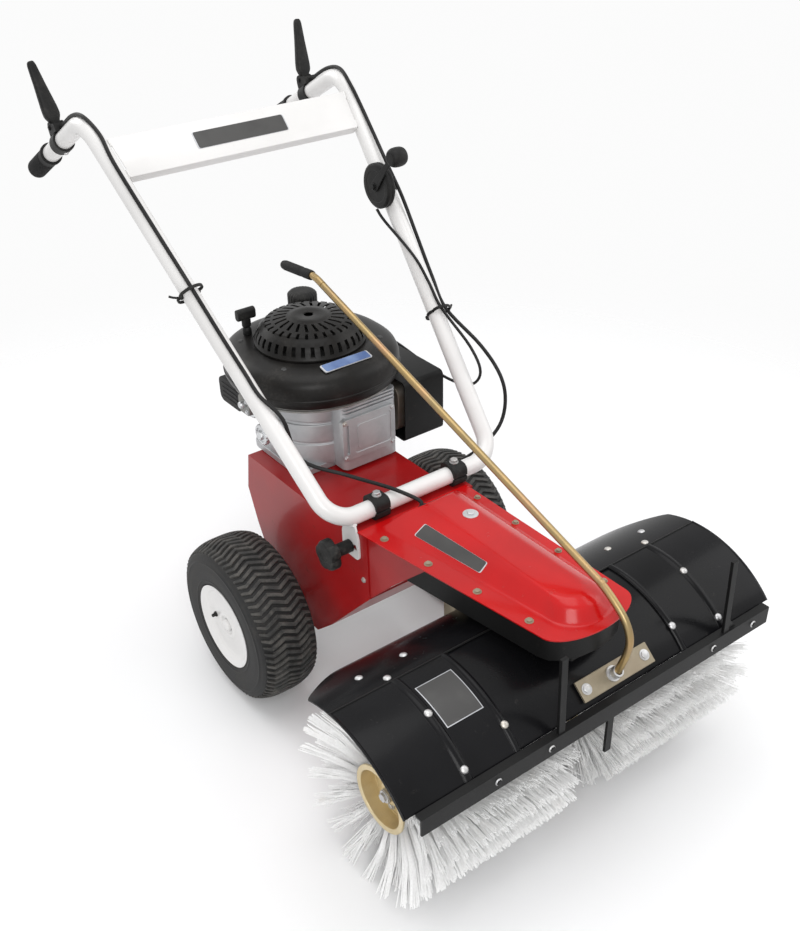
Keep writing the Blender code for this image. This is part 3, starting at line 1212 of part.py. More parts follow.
def hand_lever(side, word):
    """A band round the tube with a forked ear, and the lever that pivots in it."""
    base, pivot, heading, normal = lever_pivot(side)
    hole, out, half = bore(TUBE_RADIUS, 14), TUBE_RADIUS + BAND_WALL, BAND_WIDTH / 2
    band = solid(f"lever_clamp_{word}", turned(bmesh.new(),
                                               [(-half, hole), (-half, out), (half, out), (half, hole)],
                                               base, heading, 14), PLASTIC)
    ear = 0.0035
    for x in (-0.0075, 0.0075):
        outline = []
        for along, rise in ((-0.010, out - 0.002), (0.010, out - 0.002), (0.008, LEVER_RISE + 0.006),
                            (-0.008, LEVER_RISE + 0.006)):
            p = base + heading * along + normal * rise
            outline.append((p.y, p.z))
        join(band, prism(bmesh.new(), outline, "X", base.x + x - ear / 2, base.x + x + ear / 2))
    join(band, rod(bmesh.new(), (base.x - 0.009, pivot.y, pivot.z), (base.x + 0.009, pivot.y, pivot.z),
                   LEVER_PIN, 8))
    tip = Vector((side * LEVER_TIP[0], LEVER_TIP[1], LEVER_TIP[2]))
    run = (tip - pivot)
    out_dir = run.normalized()
    thick = Vector((0, -out_dir.z, out_dir.y)).normalized()
    wide = out_dir.cross(thick).normalized()
    loops = []
    for share, w, t in ((-0.030, 0.0040, 0.0042), (0.11, 0.0045, 0.006), (0.16, LEVER_BASE_WIDTH / 2, 0.009),
                        (0.40, LEVER_BASE_WIDTH * 0.42, 0.008), (0.75, LEVER_TIP_WIDTH * 0.62, 0.0065),
                        (0.96, LEVER_TIP_WIDTH / 2, 0.006), (1.0, LEVER_TIP_WIDTH * 0.36, 0.004)):
        loops.append([pivot + run * share + wide * w * c + thick * t * s for c, s in
                      ((1, 0.5), (0.6, 1), (-0.6, 1), (-1, 0.5), (-1, -0.5), (-0.6, -1), (0.6, -1),
                       (1, -0.5))])
    lever = solid(f"hand_lever_{word}", loft(bmesh.new(), loops), PLASTIC, pivot)
    cut(lever, rod(bmesh.new(), (base.x - 0.02, pivot.y, pivot.z), (base.x + 0.02, pivot.y, pivot.z),
                   bore(LEVER_PIN, 8), 8))


def throttle():
    """The throttle control on the left tube: a round body on a band, and its lever."""
    share = (THROTTLE_Y + CROSSBAR_Y) / (SHOULDER_Y + CROSSBAR_Y)
    base = tube_point(1, CROSSBAR_Z + (SHOULDER_Z - CROSSBAR_Z) * share)
    up, front = tube_slope()
    outer = base.x - TUBE_RADIUS - THROTTLE_OFFSET
    centre = Vector((outer, base.y, base.z)) + front * THROTTLE_LIFT
    depth, hole = THROTTLE_DEPTH, bore(TUBE_RADIUS)
    disc = [(0, 0), (0, THROTTLE_RADIUS - 0.003), (0.003, THROTTLE_RADIUS), (depth - 0.003, THROTTLE_RADIUS),
            (depth, THROTTLE_RADIUS - 0.003), (depth, 0)]
    body = solid("throttle_body", turned(bmesh.new(), disc, centre, (-1, 0, 0), 16), PLASTIC)
    axis = (tube_point(1, 1.0) - tube_point(1, 0.5)).normalized()
    wall = hole + THROTTLE_BAND
    join(body, turned(bmesh.new(), [(-0.008, hole), (-0.008, wall), (0.008, wall), (0.008, hole)], base,
                      axis, 16))
    inner = outer - depth - GAP
    origin = (inner, centre.y, centre.z)
    way = Vector((0, -0.0564, 0.0656)).normalized()
    across = Vector((0, way.z, -way.y)) * 0.007
    plate = []
    for s in (-0.008, THROTTLE_ARM):
        for sign in ((1, -1) if s < 0 else (-1, 1)):
            p = Vector(centre) + way * s + across * sign
            plate.append((p.y, p.z))
    lever = solid("throttle_lever", prism(bmesh.new(), plate, "X", inner - 0.004, inner), PLASTIC, origin)
    ball = Vector(centre) + way * THROTTLE_ARM
    r = THROTTLE_KNOB
    knob = [(-0.003, 0), (-0.003, r * 0.7), (0.004, r), (0.017, r), (0.024, r * 0.7), (0.024, 0)]
    join(lever, turned(bmesh.new(), knob, (inner - 0.001, ball.y, ball.z), (1, 0, 0), 12))
    screw = bmesh.new()
    screw_head(screw, (inner - 0.004, centre.y, centre.z), (-1, 0, 0))
    join(lever, screw)


def tube_side(side, z, outward, forward, extra=0.0):
    """A cable's centre beside the sloping tube."""
    up, front = tube_slope()
    reach = TUBE_RADIUS + CABLE_RADIUS + CABLE_CLEAR + extra
    way = Vector((side * outward, 0, 0)) + front * forward
    return tube_point(side, z) + way.normalized() * reach


def cable_start(side):
    """A lever's cable from its band over the tube's bend, on the tube's upper side."""
    base, pivot, heading, normal = lever_pivot(side)
    reach = TUBE_RADIUS + CABLE_RADIUS + CABLE_CLEAR
    start = base - heading * (BAND_WIDTH / 2 + 3 * GAP) + normal * reach
    return [start, start - heading * 0.008, (side * 0.266, 0.4054, 1.0314), (side * 0.2655, 0.3562, 1.0398),
            (side * 0.2592, 0.3114, 1.0175)]


def cables():
    """The three control cables, each along its real route."""
    place, heading = cable_hole()
    tip_z = ARM_LOW + ARM_SHEET + 0.006
    right = cable_start(-1) + [tube_side(-1, 0.965, 0.15, 1), tube_side(-1, 0.88, 0.15, 1),
                               tube_side(-1, TIE_HEIGHT_RIGHT, 0.1, 1), tube_side(-1, 0.720, 0.1, 1),
                               tube_side(-1, 0.672, 0.05, 1), tube_side(-1, 0.640, 0.0, 1.0),
                               tube_side(-1, 0.604, -0.75, 0.65) + Vector((0.002, 0, 0.001)),
                               (-0.160, -0.096, 0.530), (-0.098, -0.150, 0.499), (-0.056, -0.2176, 0.4900),
                               place - heading * 0.016, place - heading * 0.004, place + heading * 0.006,
                               (-0.052, -0.2985, 0.4425), (ARM_TIP[0] + 0.0075, ARM_TIP[1], tip_z)]
    solid("brush_cable", sweep(bmesh.new(), smooth_route(right, 2), CABLE_RADIUS, 5), PLASTIC)
    band = 2 * THROTTLE_BAND
    left = cable_start(1) + [tube_side(1, 0.965, 0.15, 1), tube_side(1, 0.880, 0.25, 1, band),
                             tube_side(1, 0.832, 0.5, 1, band), tube_side(1, 0.780, 1, 0.4, 0.001),
                             tube_side(1, 0.720, 1, 0.15, 0.001),
                             tube_side(1, TIE_HEIGHT_LEFT, 1, 0.25, 0.002),
                             (0.246, -0.100, 0.628), (0.252, -0.150, 0.585), (0.250, -0.170, 0.540),
                             (0.232, -0.176, 0.494), (0.190, -0.172, 0.460), (0.140, -0.165, 0.440),
                             (CHASSIS_LEFT + 0.020, -0.160, 0.432), (CHASSIS_LEFT + GAP, -0.160, 0.4220)]
    left[-1] = (CHASSIS_LEFT + GAP, -0.160, DECK_HEIGHT - 0.015)
    left[-2] = (CHASSIS_LEFT + 0.018, -0.160, DECK_HEIGHT - 0.012)
    solid("drive_cable", sweep(bmesh.new(), smooth_route(left, 2), CABLE_RADIUS, 5), PLASTIC)
    disc = Vector((0.2052, 0.1635, 0.8270))
    edge = ENGINE_X + TOP_PLATE_HALF
    third = [disc, disc + Vector((0.005, -0.018, -0.020)), tube_side(1, 0.750, -0.55, 0.85, 0.008),
             tube_side(1, 0.710, -0.25, 1.0, 0.005), tube_side(1, TIE_HEIGHT_LEFT, 0.1, 1.0),
             (0.222, -0.098, 0.632), (0.223, -0.128, 0.590),
             (0.218, -0.105, 0.556), (0.215, -0.040, 0.545), (0.214, 0.040, 0.552), (0.200, 0.115, 0.572),
             (0.165, 0.110, CRANKCASE_TOP + TOP_PLATE / 2),
             (edge + 0.0022, 0.085, CRANKCASE_TOP + TOP_PLATE / 2)]
    solid("throttle_cable", sweep(bmesh.new(), smooth_route(third, 2), CABLE_RADIUS * 0.8, 5), PLASTIC)


def cable_tie(side, z, word, extra):
    """A tie strap round the tube and the cables beside it, with its tail."""
    up, front = tube_slope()
    centre = tube_point(side, z)
    axis = (tube_point(side, 1.0) - tube_point(side, 0.5)).normalized()
    outward = Vector((side, 0, 0))
    outward = (outward - axis * outward.dot(axis)).normalized()
    across = axis.cross(outward)
    reach = TUBE_RADIUS + 2 * CABLE_RADIUS + 5 * CABLE_CLEAR
    ring = []
    for k in range(16):
        angle = 2 * pi * k / 16
        c, s = cos(angle), sin(angle)
        r = bore(TUBE_RADIUS) + (reach - TUBE_RADIUS) * max(0.0, c * extra[0] + abs(s) * extra[1]) ** 0.5
        ring.append((r, c, s))
    half = TIE_WIDTH / 2
    loops = []
    for grow, shift in ((0, -half), (TIE_WALL, -half), (TIE_WALL, half), (0, half)):
        loops.append([centre + axis * shift + outward * (r + grow) * c + across * (r + grow) * s for r, c,
                      s in ring])
    tie = solid(f"cable_tie_{word}", loft(bmesh.new(), loops, closed=True), PLASTIC)
    far = ring[0][0] + TIE_WALL
    start, end = centre + outward * (far - 0.001), centre + outward * (far + 0.016) - front * 0.004
    join(tie, rod(bmesh.new(), start, end, 0.0022, 6))


def build():
    for side, word in ((-1, "right"), (1, "left")):
        wheel(side, word)
        core(side, word)
        bristles(side, word)
        hood_side(side, word)
        crossbar_clamp(side, word)
        grip(side, word)
        hand_lever(side, word)
    axle()
    gear_case()
    head_shafts()
    hood_centre()
    hood_rear_panel()
    front_rail()
    rod_plate()
    swivel_rod()
    swivel_yoke()
    rear_post()
    pulleys()
    drive_belt()
    idler()
    belt_tray()
    nose_cover()
    chassis_frame()
    gearbox()
    crankcase()
    engine_covers()
    engine_fittings()
    exhaust()
    handlebar()
    star_knob()
    handlebar_panel()
    throttle()
    cables()
    cable_tie(-1, TIE_HEIGHT_RIGHT, "right", (0.0, 1.0))
    cable_tie(1, TIE_HEIGHT_LEFT, "left", (0.9, 0.9))


def core(side, word):
    """One brush half's core: a tube with an end ring, on two webs."""
    out, inside = CORE_RADIUS, CORE_RADIUS - CORE_WALL
    end, ring = BRUSH_HALF, BRUSH_HALF - END_RING_WIDTH
    web = BRUSH_HALF - END_WEB_RECESS
    hole = bore(SHAFT_RADIUS, 14)
    profile = [(CORE_START, out), (ring, out), (ring, END_RING_RADIUS), (end, END_RING_RADIUS),
               (end, inside),
               (web, inside), (web, hole), (web - WEB, hole), (web - WEB, inside),
               (CORE_START + WEB, inside), (CORE_START + WEB, hole), (CORE_START, hole)]
    centre = (0, BRUSH_Y, BRUSH_Z)
    solid(f"brush_core_{word}", turned(bmesh.new(), profile, centre, (side, 0, 0), 14), ZINC, centre)


def bristles(side, word):
    """One brush half's bristles: tapered tufts in rows, grown from a thin backing tube."""
    root_half = TUFT_ROOT[1] / 2 / (CORE_RADIUS + BACKING)
    tip_half = TUFT_TIP[1] / 2 / BRUSH_RADIUS
    low = (CORE_RADIUS + GAP) / cos(pi / TUFT_ROWS - root_half)
    high = low + BACKING
    first, last = CORE_START + 0.002, BRUSH_HALF - END_RING_WIDTH - 0.002
    pitch = (last - first) / TUFT_COLUMNS
    tip_radius = BRUSH_RADIUS / cos(tip_half)
    angles = []
    for k in range(TUFT_ROWS):
        middle = -pi / 2 + 2 * pi * k / TUFT_ROWS
        angles += [(middle - root_half, middle - tip_half), (middle + root_half, middle + tip_half)]
    stations = [(first, first)]
    for k in range(TUFT_COLUMNS):
        middle = first + pitch * (k + 0.5)
        lean = 2 * (k + 0.5) / TUFT_COLUMNS - 1
        tip = middle + (SPLAY_OUT if lean > 0 else SPLAY_IN) * lean ** 3
        for sign in (-1, 1):
            stations.append((middle + sign * TUFT_ROOT[0] / 2, tip + sign * TUFT_TIP[0] / 2))
    stations.append((last, last))

    def point(x, angle, radius):
        return (side * x, BRUSH_Y + radius * cos(angle), BRUSH_Z + radius * sin(angle))

    bm = bmesh.new()
    grid = [[bm.verts.new(point(x, a, high)) for x, _ in stations] for a, _ in angles]
    count = len(angles)
    for i in range(count):
        j = (i + 1) % count
        for k in range(len(stations) - 1):
            corners = [grid[i][k], grid[j][k], grid[j][k + 1], grid[i][k + 1]]
            if i % 2 == 0 and k % 2 == 1:
                tips = [bm.verts.new(point(stations[m][1], angles[n][1], tip_radius))
                        for n, m in ((i, k), (j, k), (j, k + 1), (i, k + 1))]
                bridge(bm, corners, tips)
                bm.faces.new(tips)
            else:
                bm.faces.new(corners)
    bores = [[bm.verts.new(point(x, a, low)) for a, _ in angles] for x in (first, last)]
    bridge(bm, [row[0] for row in grid], bores[0])
    bridge(bm, bores[0], bores[1])
    bridge(bm, bores[1], [row[-1] for row in grid])
    centre = (0, BRUSH_Y, BRUSH_Z)
    solid(f"bristles_{word}", bm, BRISTLE, centre)


build()
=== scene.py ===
"""Looks of the walk-behind sweeping machine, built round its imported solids.

Metres, +Z up. Shapes are written with Y = 0 at the wheel axle and moved to their place at the end.
"""
from math import acos, cos, pi, radians, sin, sqrt, tan
from random import Random

import bmesh
import bpy
from mathutils import Matrix, Vector


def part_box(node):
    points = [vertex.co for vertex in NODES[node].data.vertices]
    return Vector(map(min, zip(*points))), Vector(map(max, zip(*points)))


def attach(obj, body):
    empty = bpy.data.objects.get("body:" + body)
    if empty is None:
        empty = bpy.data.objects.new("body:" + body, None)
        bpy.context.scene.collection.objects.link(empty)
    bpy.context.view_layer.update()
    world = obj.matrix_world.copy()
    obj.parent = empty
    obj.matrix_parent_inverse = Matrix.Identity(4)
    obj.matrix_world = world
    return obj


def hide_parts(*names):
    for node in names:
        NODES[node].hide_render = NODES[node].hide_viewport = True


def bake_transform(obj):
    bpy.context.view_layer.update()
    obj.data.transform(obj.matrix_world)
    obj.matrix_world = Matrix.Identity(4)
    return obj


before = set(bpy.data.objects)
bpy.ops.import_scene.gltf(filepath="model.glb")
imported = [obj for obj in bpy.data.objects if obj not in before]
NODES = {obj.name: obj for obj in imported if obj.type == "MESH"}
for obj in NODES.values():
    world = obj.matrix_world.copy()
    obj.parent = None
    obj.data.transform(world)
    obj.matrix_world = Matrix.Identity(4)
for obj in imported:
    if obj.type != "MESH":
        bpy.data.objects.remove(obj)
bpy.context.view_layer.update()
AXLE_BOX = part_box("wheel_axle")
AXLE_Y = (AXLE_BOX[0].y + AXLE_BOX[1].y) / 2

# Wheels
TYRE_RADIUS, WHEEL_X = 0.165, 0.2475
LUGS, LUG_HEIGHT, LUG_WIDTH, LUG_SWING, LUG_HALF = 70, 0.0045, 0.0088, 0.0062, 0.0545
CROWN_DROP, CROWN_HALF = 0.0135, 0.0575

# Brush and hood
BRUSH_Y, BRUSH_Z = -0.5439, 0.1726
BRUSH_RADIUS, BRUSH_HALF = 0.1726, 0.3326
CORE_RADIUS, CORE_START = 0.056, 0.052
TUFT_ROWS, TUFT_COLUMNS, TUFT_STRANDS = 20, 19, 22
ROOT_RADIUS, BRISTLE_REACH = 0.058, 0.392
HOOD_OUT, SIDE_OUT, HOOD_SHEET = 0.212, 0.2148, 0.0025
HOOD_FRONT, HOOD_SEAM, HOOD_LAP, HOOD_REAR = 42.0, 95.0, 4.0, 140.0
HOOD_HALF, OUTER_SEAM, INNER_SEAM = 0.4, 0.28, 0.18
BEAD, BEAD_WIDTH = 0.0028, 0.01
NECK_RADIUS = 0.034
RAIL_FRONT, RAIL_TOP, RAIL_BOLTS = -0.7214, 0.3205, (-0.239, -0.132, 0.239, 0.341)

# Nose cover
NOSE_HEIGHT, NOSE_SHEET, TUB_HEIGHT, TUB_SHOULDER = 0.449, 0.0025, 0.031, 0.72
SLOPE_FOOT, SLOPE_TOP, SLOPE_TAPER = 0.042, 0.087, 0.033
NOSE_REAR, NOSE_SHOULDER, NOSE_FRONT = 0.242, 0.64, 0.686
NOSE_RIGHT_REAR, NOSE_RIGHT_FRONT, NOSE_LEFT = 0.147, 0.09, 0.095

# Engine
ENGINE_X, ENGINE_Y, ENGINE_LOW = -0.012, 0.085, 0.4253
CRANKCASE_RADIUS, OIL_FILLER_SHIFT, OIL_FILLER_Z = 0.098, 0.009, 0.484
BARREL_FRONT, BARREL_RIGHT, BARREL_LEFT, BARREL_TOP = 0.045, 0.035, 0.088, 0.57
SHROUD_LOW, SHROUD_HALF, SHROUD_LENGTH = 0.5878, 0.162, 0.165
DOME_BASE, FUEL_FILLER = SHROUD_LOW + 0.0643, (0.05, 0.205)
STARTER_RADIUS, STARTER_HEIGHT = 0.104, 0.048

# Handlebar and controls
TUBE_RADIUS, TUBE_PLAY = 0.016, 0.0003
CROSSBAR_Y, CROSSBAR_Z, CORNER_HALF = 0.2176, 0.4655, 0.18
SHOULDER_HALF, SHOULDER_Y, SHOULDER_Z = 0.266, 0.357, 1.034
GRIP_END_Y, GRIP_END_Z, GRIP_LENGTH = 0.637, 0.886, 0.11
CORNER_FILLET, SHOULDER_FILLET = 0.055, 0.06
LEVER_Y, LEVER_RISE, LEVER_TIP = 0.475, 0.028, (0.279, 0.5226, 1.1039)
CABLE_RADIUS, CABLE_CLEAR, ADJUSTER_BACK = 0.0035, 0.0008, 0.0119
TIE_HEIGHT_RIGHT, TIE_HEIGHT_LEFT = 0.79, 0.672
GUSSET_FACE, KNOB_FACE, KNOB_DROP = -0.1423, -0.1469, 0.0575
SLOT_OUTER, SLOT_INNER, SLOT_START, SLOT_SWEEP = 0.0628, 0.0522, -18, 30
PANEL_START, PANEL_END, PANEL_PLATE = 0.846, 0.942, (0.29, 0.982)
CLAMP_X, CLAMP_LOW = 0.0865, 0.4465
THROTTLE_Y, THROTTLE_BAND, THROTTLE_REACH = 0.1766, 0.0025, 0.0865

# Steering rod and surroundings
ROD_ANGLE, ROD_RADIUS = 49.5, 0.0065
FLOOR_REACH = 2.2

# Both sides, straight up, and the grommet where the brush cable enters the nose cover
SIDES = ((-1, "right"), (1, "left"))
UP = (0, 0, 1)
GROMMET = Vector((-0.03, -NOSE_REAR - 0.0325, NOSE_HEIGHT + 0.018))
GROMMET_HEADING = Vector((0, -0.74, -0.67))


class Socket:
    """An output of a shader node, on which Python's operators add Math nodes."""

    def __init__(self, finish, link):
        self.finish, self.link = finish, link

    def maths(self, operation, *values):
        return self.finish.node("ShaderNodeMath", {"operation": operation}, dict(enumerate(values)))

    def __add__(self, other):
        return self.maths("ADD", self, other)

    def __mul__(self, other):
        return self.maths("MULTIPLY", self, other)

    def __sub__(self, other):
        return self.maths("SUBTRACT", self, other)

    def __rsub__(self, other):
        return self.maths("SUBTRACT", other, self)

    def __pow__(self, other):
        return self.maths("POWER", self, other)

    __radd__ = __add__

    def rise(self, low, high):
        """0 below low, 1 above high, and smooth between them."""
        return self.finish.node("ShaderNodeMapRange", {"interpolation_type": "SMOOTHSTEP"}, {"Value": self,
            "From Min": low, "From Max": high})


class Finish:
    """One material: a Principled shader, what feeds it, and the record's slot that it stands for."""

    def __init__(self, name, slot, **own):
        self.slot = slot
        self.stuff = bpy.data.materials.new(name)
        self.stuff.use_nodes = True
        self.tree = self.stuff.node_tree
        self.shader = self.tree.nodes["Principled BSDF"]
        for socket, value in own.items():
            self.shader.inputs[socket.replace("_", " ")].default_value = value
        self.place = self.node("ShaderNodeTexCoord", output="Object")

    def node(self, kind, settings=None, values=None, output=0):
        """Add a node: its settings first, then the values or links of its sockets."""
        made = self.tree.nodes.new(kind)
        for name, value in (settings or {}).items():
            setattr(made, name, value)
        for name, value in (values or {}).items():
            self.feed(made.inputs[name], value)
        return Socket(self, made.outputs[output])

    def feed(self, socket, value):
        if isinstance(value, Socket):
            self.tree.links.new(value.link, socket)
        elif isinstance(value, tuple) and len(value) == 3 and socket.type == "RGBA":
            socket.default_value = (*value, 1.0)
        else:
            socket.default_value = value

    def noise(self, scale, detail=2.0, rough=0.5, stretch=(1, 1, 1), twist=0.0):
        """Noise of so many grains a metre, drawn out along an axis where stretch is small."""
        place = self.node("ShaderNodeVectorMath", {"operation": "MULTIPLY"}, {0: self.place, 1: stretch})
        return self.node("ShaderNodeTexNoise", {}, {"Vector": place, "Scale": scale, "Detail": detail,
            "Roughness": rough, "Distortion": twist})

    def axis(self, name):
        return self.node("ShaderNodeSeparateXYZ", {}, {0: self.place}, name)

    def mix(self, share, first, second):
        """From the first colour to the second."""
        made = self.tree.nodes.new("ShaderNodeMix")
        made.data_type = "RGBA"
        for socket, value in ((made.inputs[0], share), (made.inputs[6], first), (made.inputs[7], second)):
            self.feed(socket, value)
        return Socket(self, made.outputs[2])

    def shade(self, colour, rough, bump, depth, strength):
        """Feed the shader's colour, roughness and relief."""
        relief = self.node("ShaderNodeBump", {}, {"Strength": strength, "Distance": depth, "Height": bump})
        for name, value in (("Base Color", colour), ("Roughness", rough), ("Normal", relief)):
            self.feed(self.shader.inputs[name], value)
        return self


def enamel(name, slot, deep, bright, dirt, rough, coat, grime=0.5, specular=0.5):
    """Sprayed gloss paint: slight orange peel, cloudy depth and a little dirt."""
    paint = Finish(name, slot, Coat_Weight=coat, Coat_Roughness=0.08, Specular_IOR_Level=specular)
    cloud = paint.noise(7, 3)
    peel = paint.noise(330, 1.5)
    specks = paint.noise(60, 5, 0.65).rise(0.6, 0.78)
    patches = paint.noise(11, 4, 0.6).rise(0.42, 0.7)
    soil = specks * patches * grime
    base = paint.mix(cloud.rise(0.3, 0.7), deep, bright)
    return paint.shade(paint.mix(soil, base, dirt), rough + soil * 0.35 + peel * 0.05 + cloud * 0.04,
        bump=peel * 0.35 + cloud * 0.8, depth=0.0006, strength=0.5)


def moulding(name, slot, deep, bright, rough, grain=1400, dust=0.35, coat=0.0):
    """Moulded plastic or rubber: fine grain, uneven sheen and pale dust."""
    stuff = Finish(name, slot, Coat_Weight=coat, Coat_Roughness=0.15, Specular_IOR_Level=0.18)
    fine = stuff.noise(grain, 2, 0.6)
    broad = stuff.noise(14, 4, 0.6)
    film = broad.rise(0.45, 0.75) * stuff.noise(160, 4, 0.7).rise(0.35, 0.8) * dust
    base = stuff.mix(broad.rise(0.3, 0.7), deep, bright)
    return stuff.shade(stuff.mix(film, base, (0.16, 0.15, 0.135)), rough + film * 0.5 + fine * 0.1,
        bump=fine * 0.5 + broad * 0.4, depth=0.00025, strength=0.6)


def metal(name, slot, tones, rough, shine=1.0, grain=(500, (1, 1, 1)), stain=0.2, stained=(0.2, 0.12,
        0.06)):
    """Bare, plated or cast metal: mottled tones, a fine grain and stains."""
    stuff = Finish(name, slot, Metallic=shine)
    scale, stretch = grain
    fine = stuff.noise(scale, 3, 0.6, stretch)
    mottle = stuff.noise(24, 4, 0.6, twist=0.6)
    patch = stuff.noise(9, 3, 0.5)
    spots = stuff.noise(75, 5, 0.7).rise(0.62, 0.8) * patch.rise(0.4, 0.68) * stain
    tone = stuff.mix(mottle.rise(0.35, 0.65), tones[0], tones[1])
    tone = stuff.mix(patch.rise(0.45, 0.75), tone, tones[-1])
    return stuff.shade(stuff.mix(spots, tone, stained), rough + fine * 0.14 + spots * 0.4,
        bump=fine + mottle * 0.3, depth=0.00015, strength=0.5)


RED = enamel("red_enamel", "red_paint", (0.46, 0.004, 0.005), (0.56, 0.005, 0.006), (0.16, 0.03, 0.02), 0.2,
    0.22, specular=0.22)
# Painted shade: the frame wears the nose cover's red paint made darker, as its shaded side plates look; its
# grime is dirt.
SHADED_FRAME_RED = enamel("shaded_frame_red_enamel", "red_paint", (0.3, 0.006, 0.007), (0.38, 0.008, 0.009),
    (0.13, 0.04, 0.03), 0.3, 0.15, grime=0.8, specular=0.3)
WHITE = enamel("white_powder_coat", "white_paint", (0.74, 0.73, 0.715), (0.8, 0.79, 0.775),
    (0.5, 0.46, 0.4), 0.28, 0.3, grime=0.35)
GLOSS_BLACK = enamel("gloss_black_enamel", "black_paint", (0.004, 0.004, 0.0045), (0.007, 0.007, 0.008),
    (0.05, 0.046, 0.042), 0.2, 0.04, grime=0.45, specular=0.12)
SATIN_BLACK = enamel("satin_black_enamel", "black_paint", (0.007, 0.007, 0.007), (0.011, 0.011, 0.011),
    (0.06, 0.05, 0.042), 0.38, 0.0, grime=0.7, specular=0.16)
SHROUD_BLACK = moulding("shroud_plastic", "black_plastic", (0.0065, 0.006, 0.0056), (0.011, 0.01, 0.009),
    0.34, 900, 0.2, 0.02)
GRAIN_BLACK = moulding("grained_plastic", "black_plastic", (0.009, 0.009, 0.009), (0.015, 0.015, 0.0145),
    0.45)
GRIP_BLACK = moulding("grip_rubber", "black_plastic", (0.01, 0.01, 0.01), (0.016, 0.016, 0.016), 0.62, 800,
    0.25)
SHEATH_BLACK = moulding("cable_sheath", "black_plastic", (0.012, 0.012, 0.012), (0.018, 0.018, 0.018), 0.35,
    700, 0.2)
BELT = moulding("belt_cloth", "belt_rubber", (0.014, 0.014, 0.014), (0.024, 0.023, 0.022), 0.75, 1100, 0.5)
CAST = metal("painted_casting", "cast_aluminium", ((0.4, 0.41, 0.42), (0.46, 0.47, 0.48),
    (0.52, 0.52, 0.52)), 0.4, 0.55, (900, (1, 1, 1)))
DULL_CAST = metal("rough_casting", "cast_aluminium", ((0.22, 0.22, 0.21), (0.3, 0.3, 0.29),
    (0.26, 0.24, 0.21)), 0.5, 0.6, (600, (1, 1, 1)), 0.7)
YELLOW_ZINC = metal("yellow_zinc_plate", "zinc_plating", ((0.38, 0.27, 0.12), (0.32, 0.24, 0.12),
    (0.42, 0.25, 0.14)), 0.28, 0.9, (300, (1, 0.08, 0.08)), 0.3)
PALE_ZINC = metal("pale_zinc_plate", "zinc_plating", ((0.28, 0.24, 0.17), (0.34, 0.29, 0.21),
    (0.25, 0.2, 0.14)), 0.4, 0.6, stain=0.6)
RING_ZINC = metal("straw_zinc_plate", "zinc_plating", ((0.62, 0.51, 0.3), (0.68, 0.57, 0.36),
    (0.58, 0.44, 0.25)), 0.32, 0.7, stain=0.4)
BOLT_ZINC = metal("bright_zinc", "zinc_plating", ((0.56, 0.56, 0.56), (0.48, 0.48, 0.49),
    (0.54, 0.5, 0.43)), 0.34, 0.85, stain=0.8)
STEEL = metal("machined_steel", "bare_steel", ((0.5, 0.5, 0.5), (0.58, 0.58, 0.58), (0.46, 0.45, 0.43)),
    0.3, 1.0, (420, (0.1, 1, 1)), 0.4)
HOT_STEEL = metal("heat_stained_steel", "bare_steel", ((0.36, 0.33, 0.3), (0.3, 0.25, 0.2),
    (0.24, 0.2, 0.2)), 0.42, 0.9, stain=0.8)
STEEL_DARK = metal("blackened_steel", "bare_steel", ((0.05, 0.05, 0.05), (0.08, 0.08, 0.08), (0.06, 0.055,
    0.05)), 0.4, 0.8, stain=0.3)
SILVER = metal("satin_silver", "bare_steel", ((0.6, 0.61, 0.62), (0.66, 0.67, 0.68), (0.58, 0.58, 0.58)),
    0.3, 0.8, (500, (1, 1, 1)), 0.1)


def tyre_finish():
    """Black rubber, greyer where the tread has run, with fine moulding lines."""
    rubber = Finish("tyre_rubber", "tyre", Specular_IOR_Level=0.35)
    fine = rubber.noise(700, 3, 0.6)
    broad = rubber.noise(18, 4, 0.6)
    dust = broad.rise(0.4, 0.72) * rubber.noise(120, 5, 0.7).rise(0.35, 0.75)
    worn = rubber.mix(dust * 0.6, (0.014, 0.014, 0.014), (0.075, 0.07, 0.062))
    return rubber.shade(worn, 0.55 + fine * 0.2 + dust * 0.2, bump=fine * 0.5 + broad, depth=0.0003,
        strength=0.6)


def tread_finish():
    rubber = Finish("tread_rubber", "tyre", Specular_IOR_Level=0.35)
    fine = rubber.noise(500, 3, 0.7)
    dust = rubber.noise(45, 5, 0.65).rise(0.35, 0.7)
    worn = rubber.mix(dust, (0.035, 0.035, 0.034), (0.095, 0.09, 0.082))
    return rubber.shade(worn, 0.62 + fine * 0.25, bump=fine + dust, depth=0.0003, strength=0.6)


def bristle_finish():
    """Off-white bristles with painted shade greying them near the roots, and uneven from strand to strand.
    """
    hair = Finish("white_bristle", "bristle", Specular_IOR_Level=0.4)
    strand = hair.noise(260, 2, 0.6)
    clump = hair.noise(30, 3, 0.5)
    across = hair.axis("Y") - (AXLE_Y + BRUSH_Y)
    upward = hair.axis("Z") - BRUSH_Z
    reach = (across * across + upward * upward) ** 0.5
    # Painted shade: the strands grow darker towards their roots, deep in the brush where shade falls.
    painted_root_shade = 1 - reach.rise(0.06, 0.12)
    tone = hair.mix(strand.rise(0.3, 0.7), (0.88, 0.88, 0.87), (0.97, 0.97, 0.965))
    tone = hair.mix(clump.rise(0.55, 0.8) * 0.35, tone, (0.8, 0.76, 0.73))
    return hair.shade(hair.mix(painted_root_shade * 0.6, tone, (0.46, 0.45, 0.44)), 0.45 + strand * 0.2, bump=strand,
        depth=0.0002, strength=0.4)


def label_finish(name, deep, bright):
    """A blank foil label: brushed, with a soft change of tone along it and no print."""
    foil = Finish(name, "black_plastic", Coat_Weight=0.4, Coat_Roughness=0.1)
    streak = foil.noise(260, 3, 0.6, (0.15, 1, 1))
    cloud = foil.noise(20, 3)
    return foil.shade(foil.mix(cloud.rise(0.35, 0.65), deep, bright), 0.3 + streak * 0.15, bump=streak,
        depth=0.0001, strength=0.4)


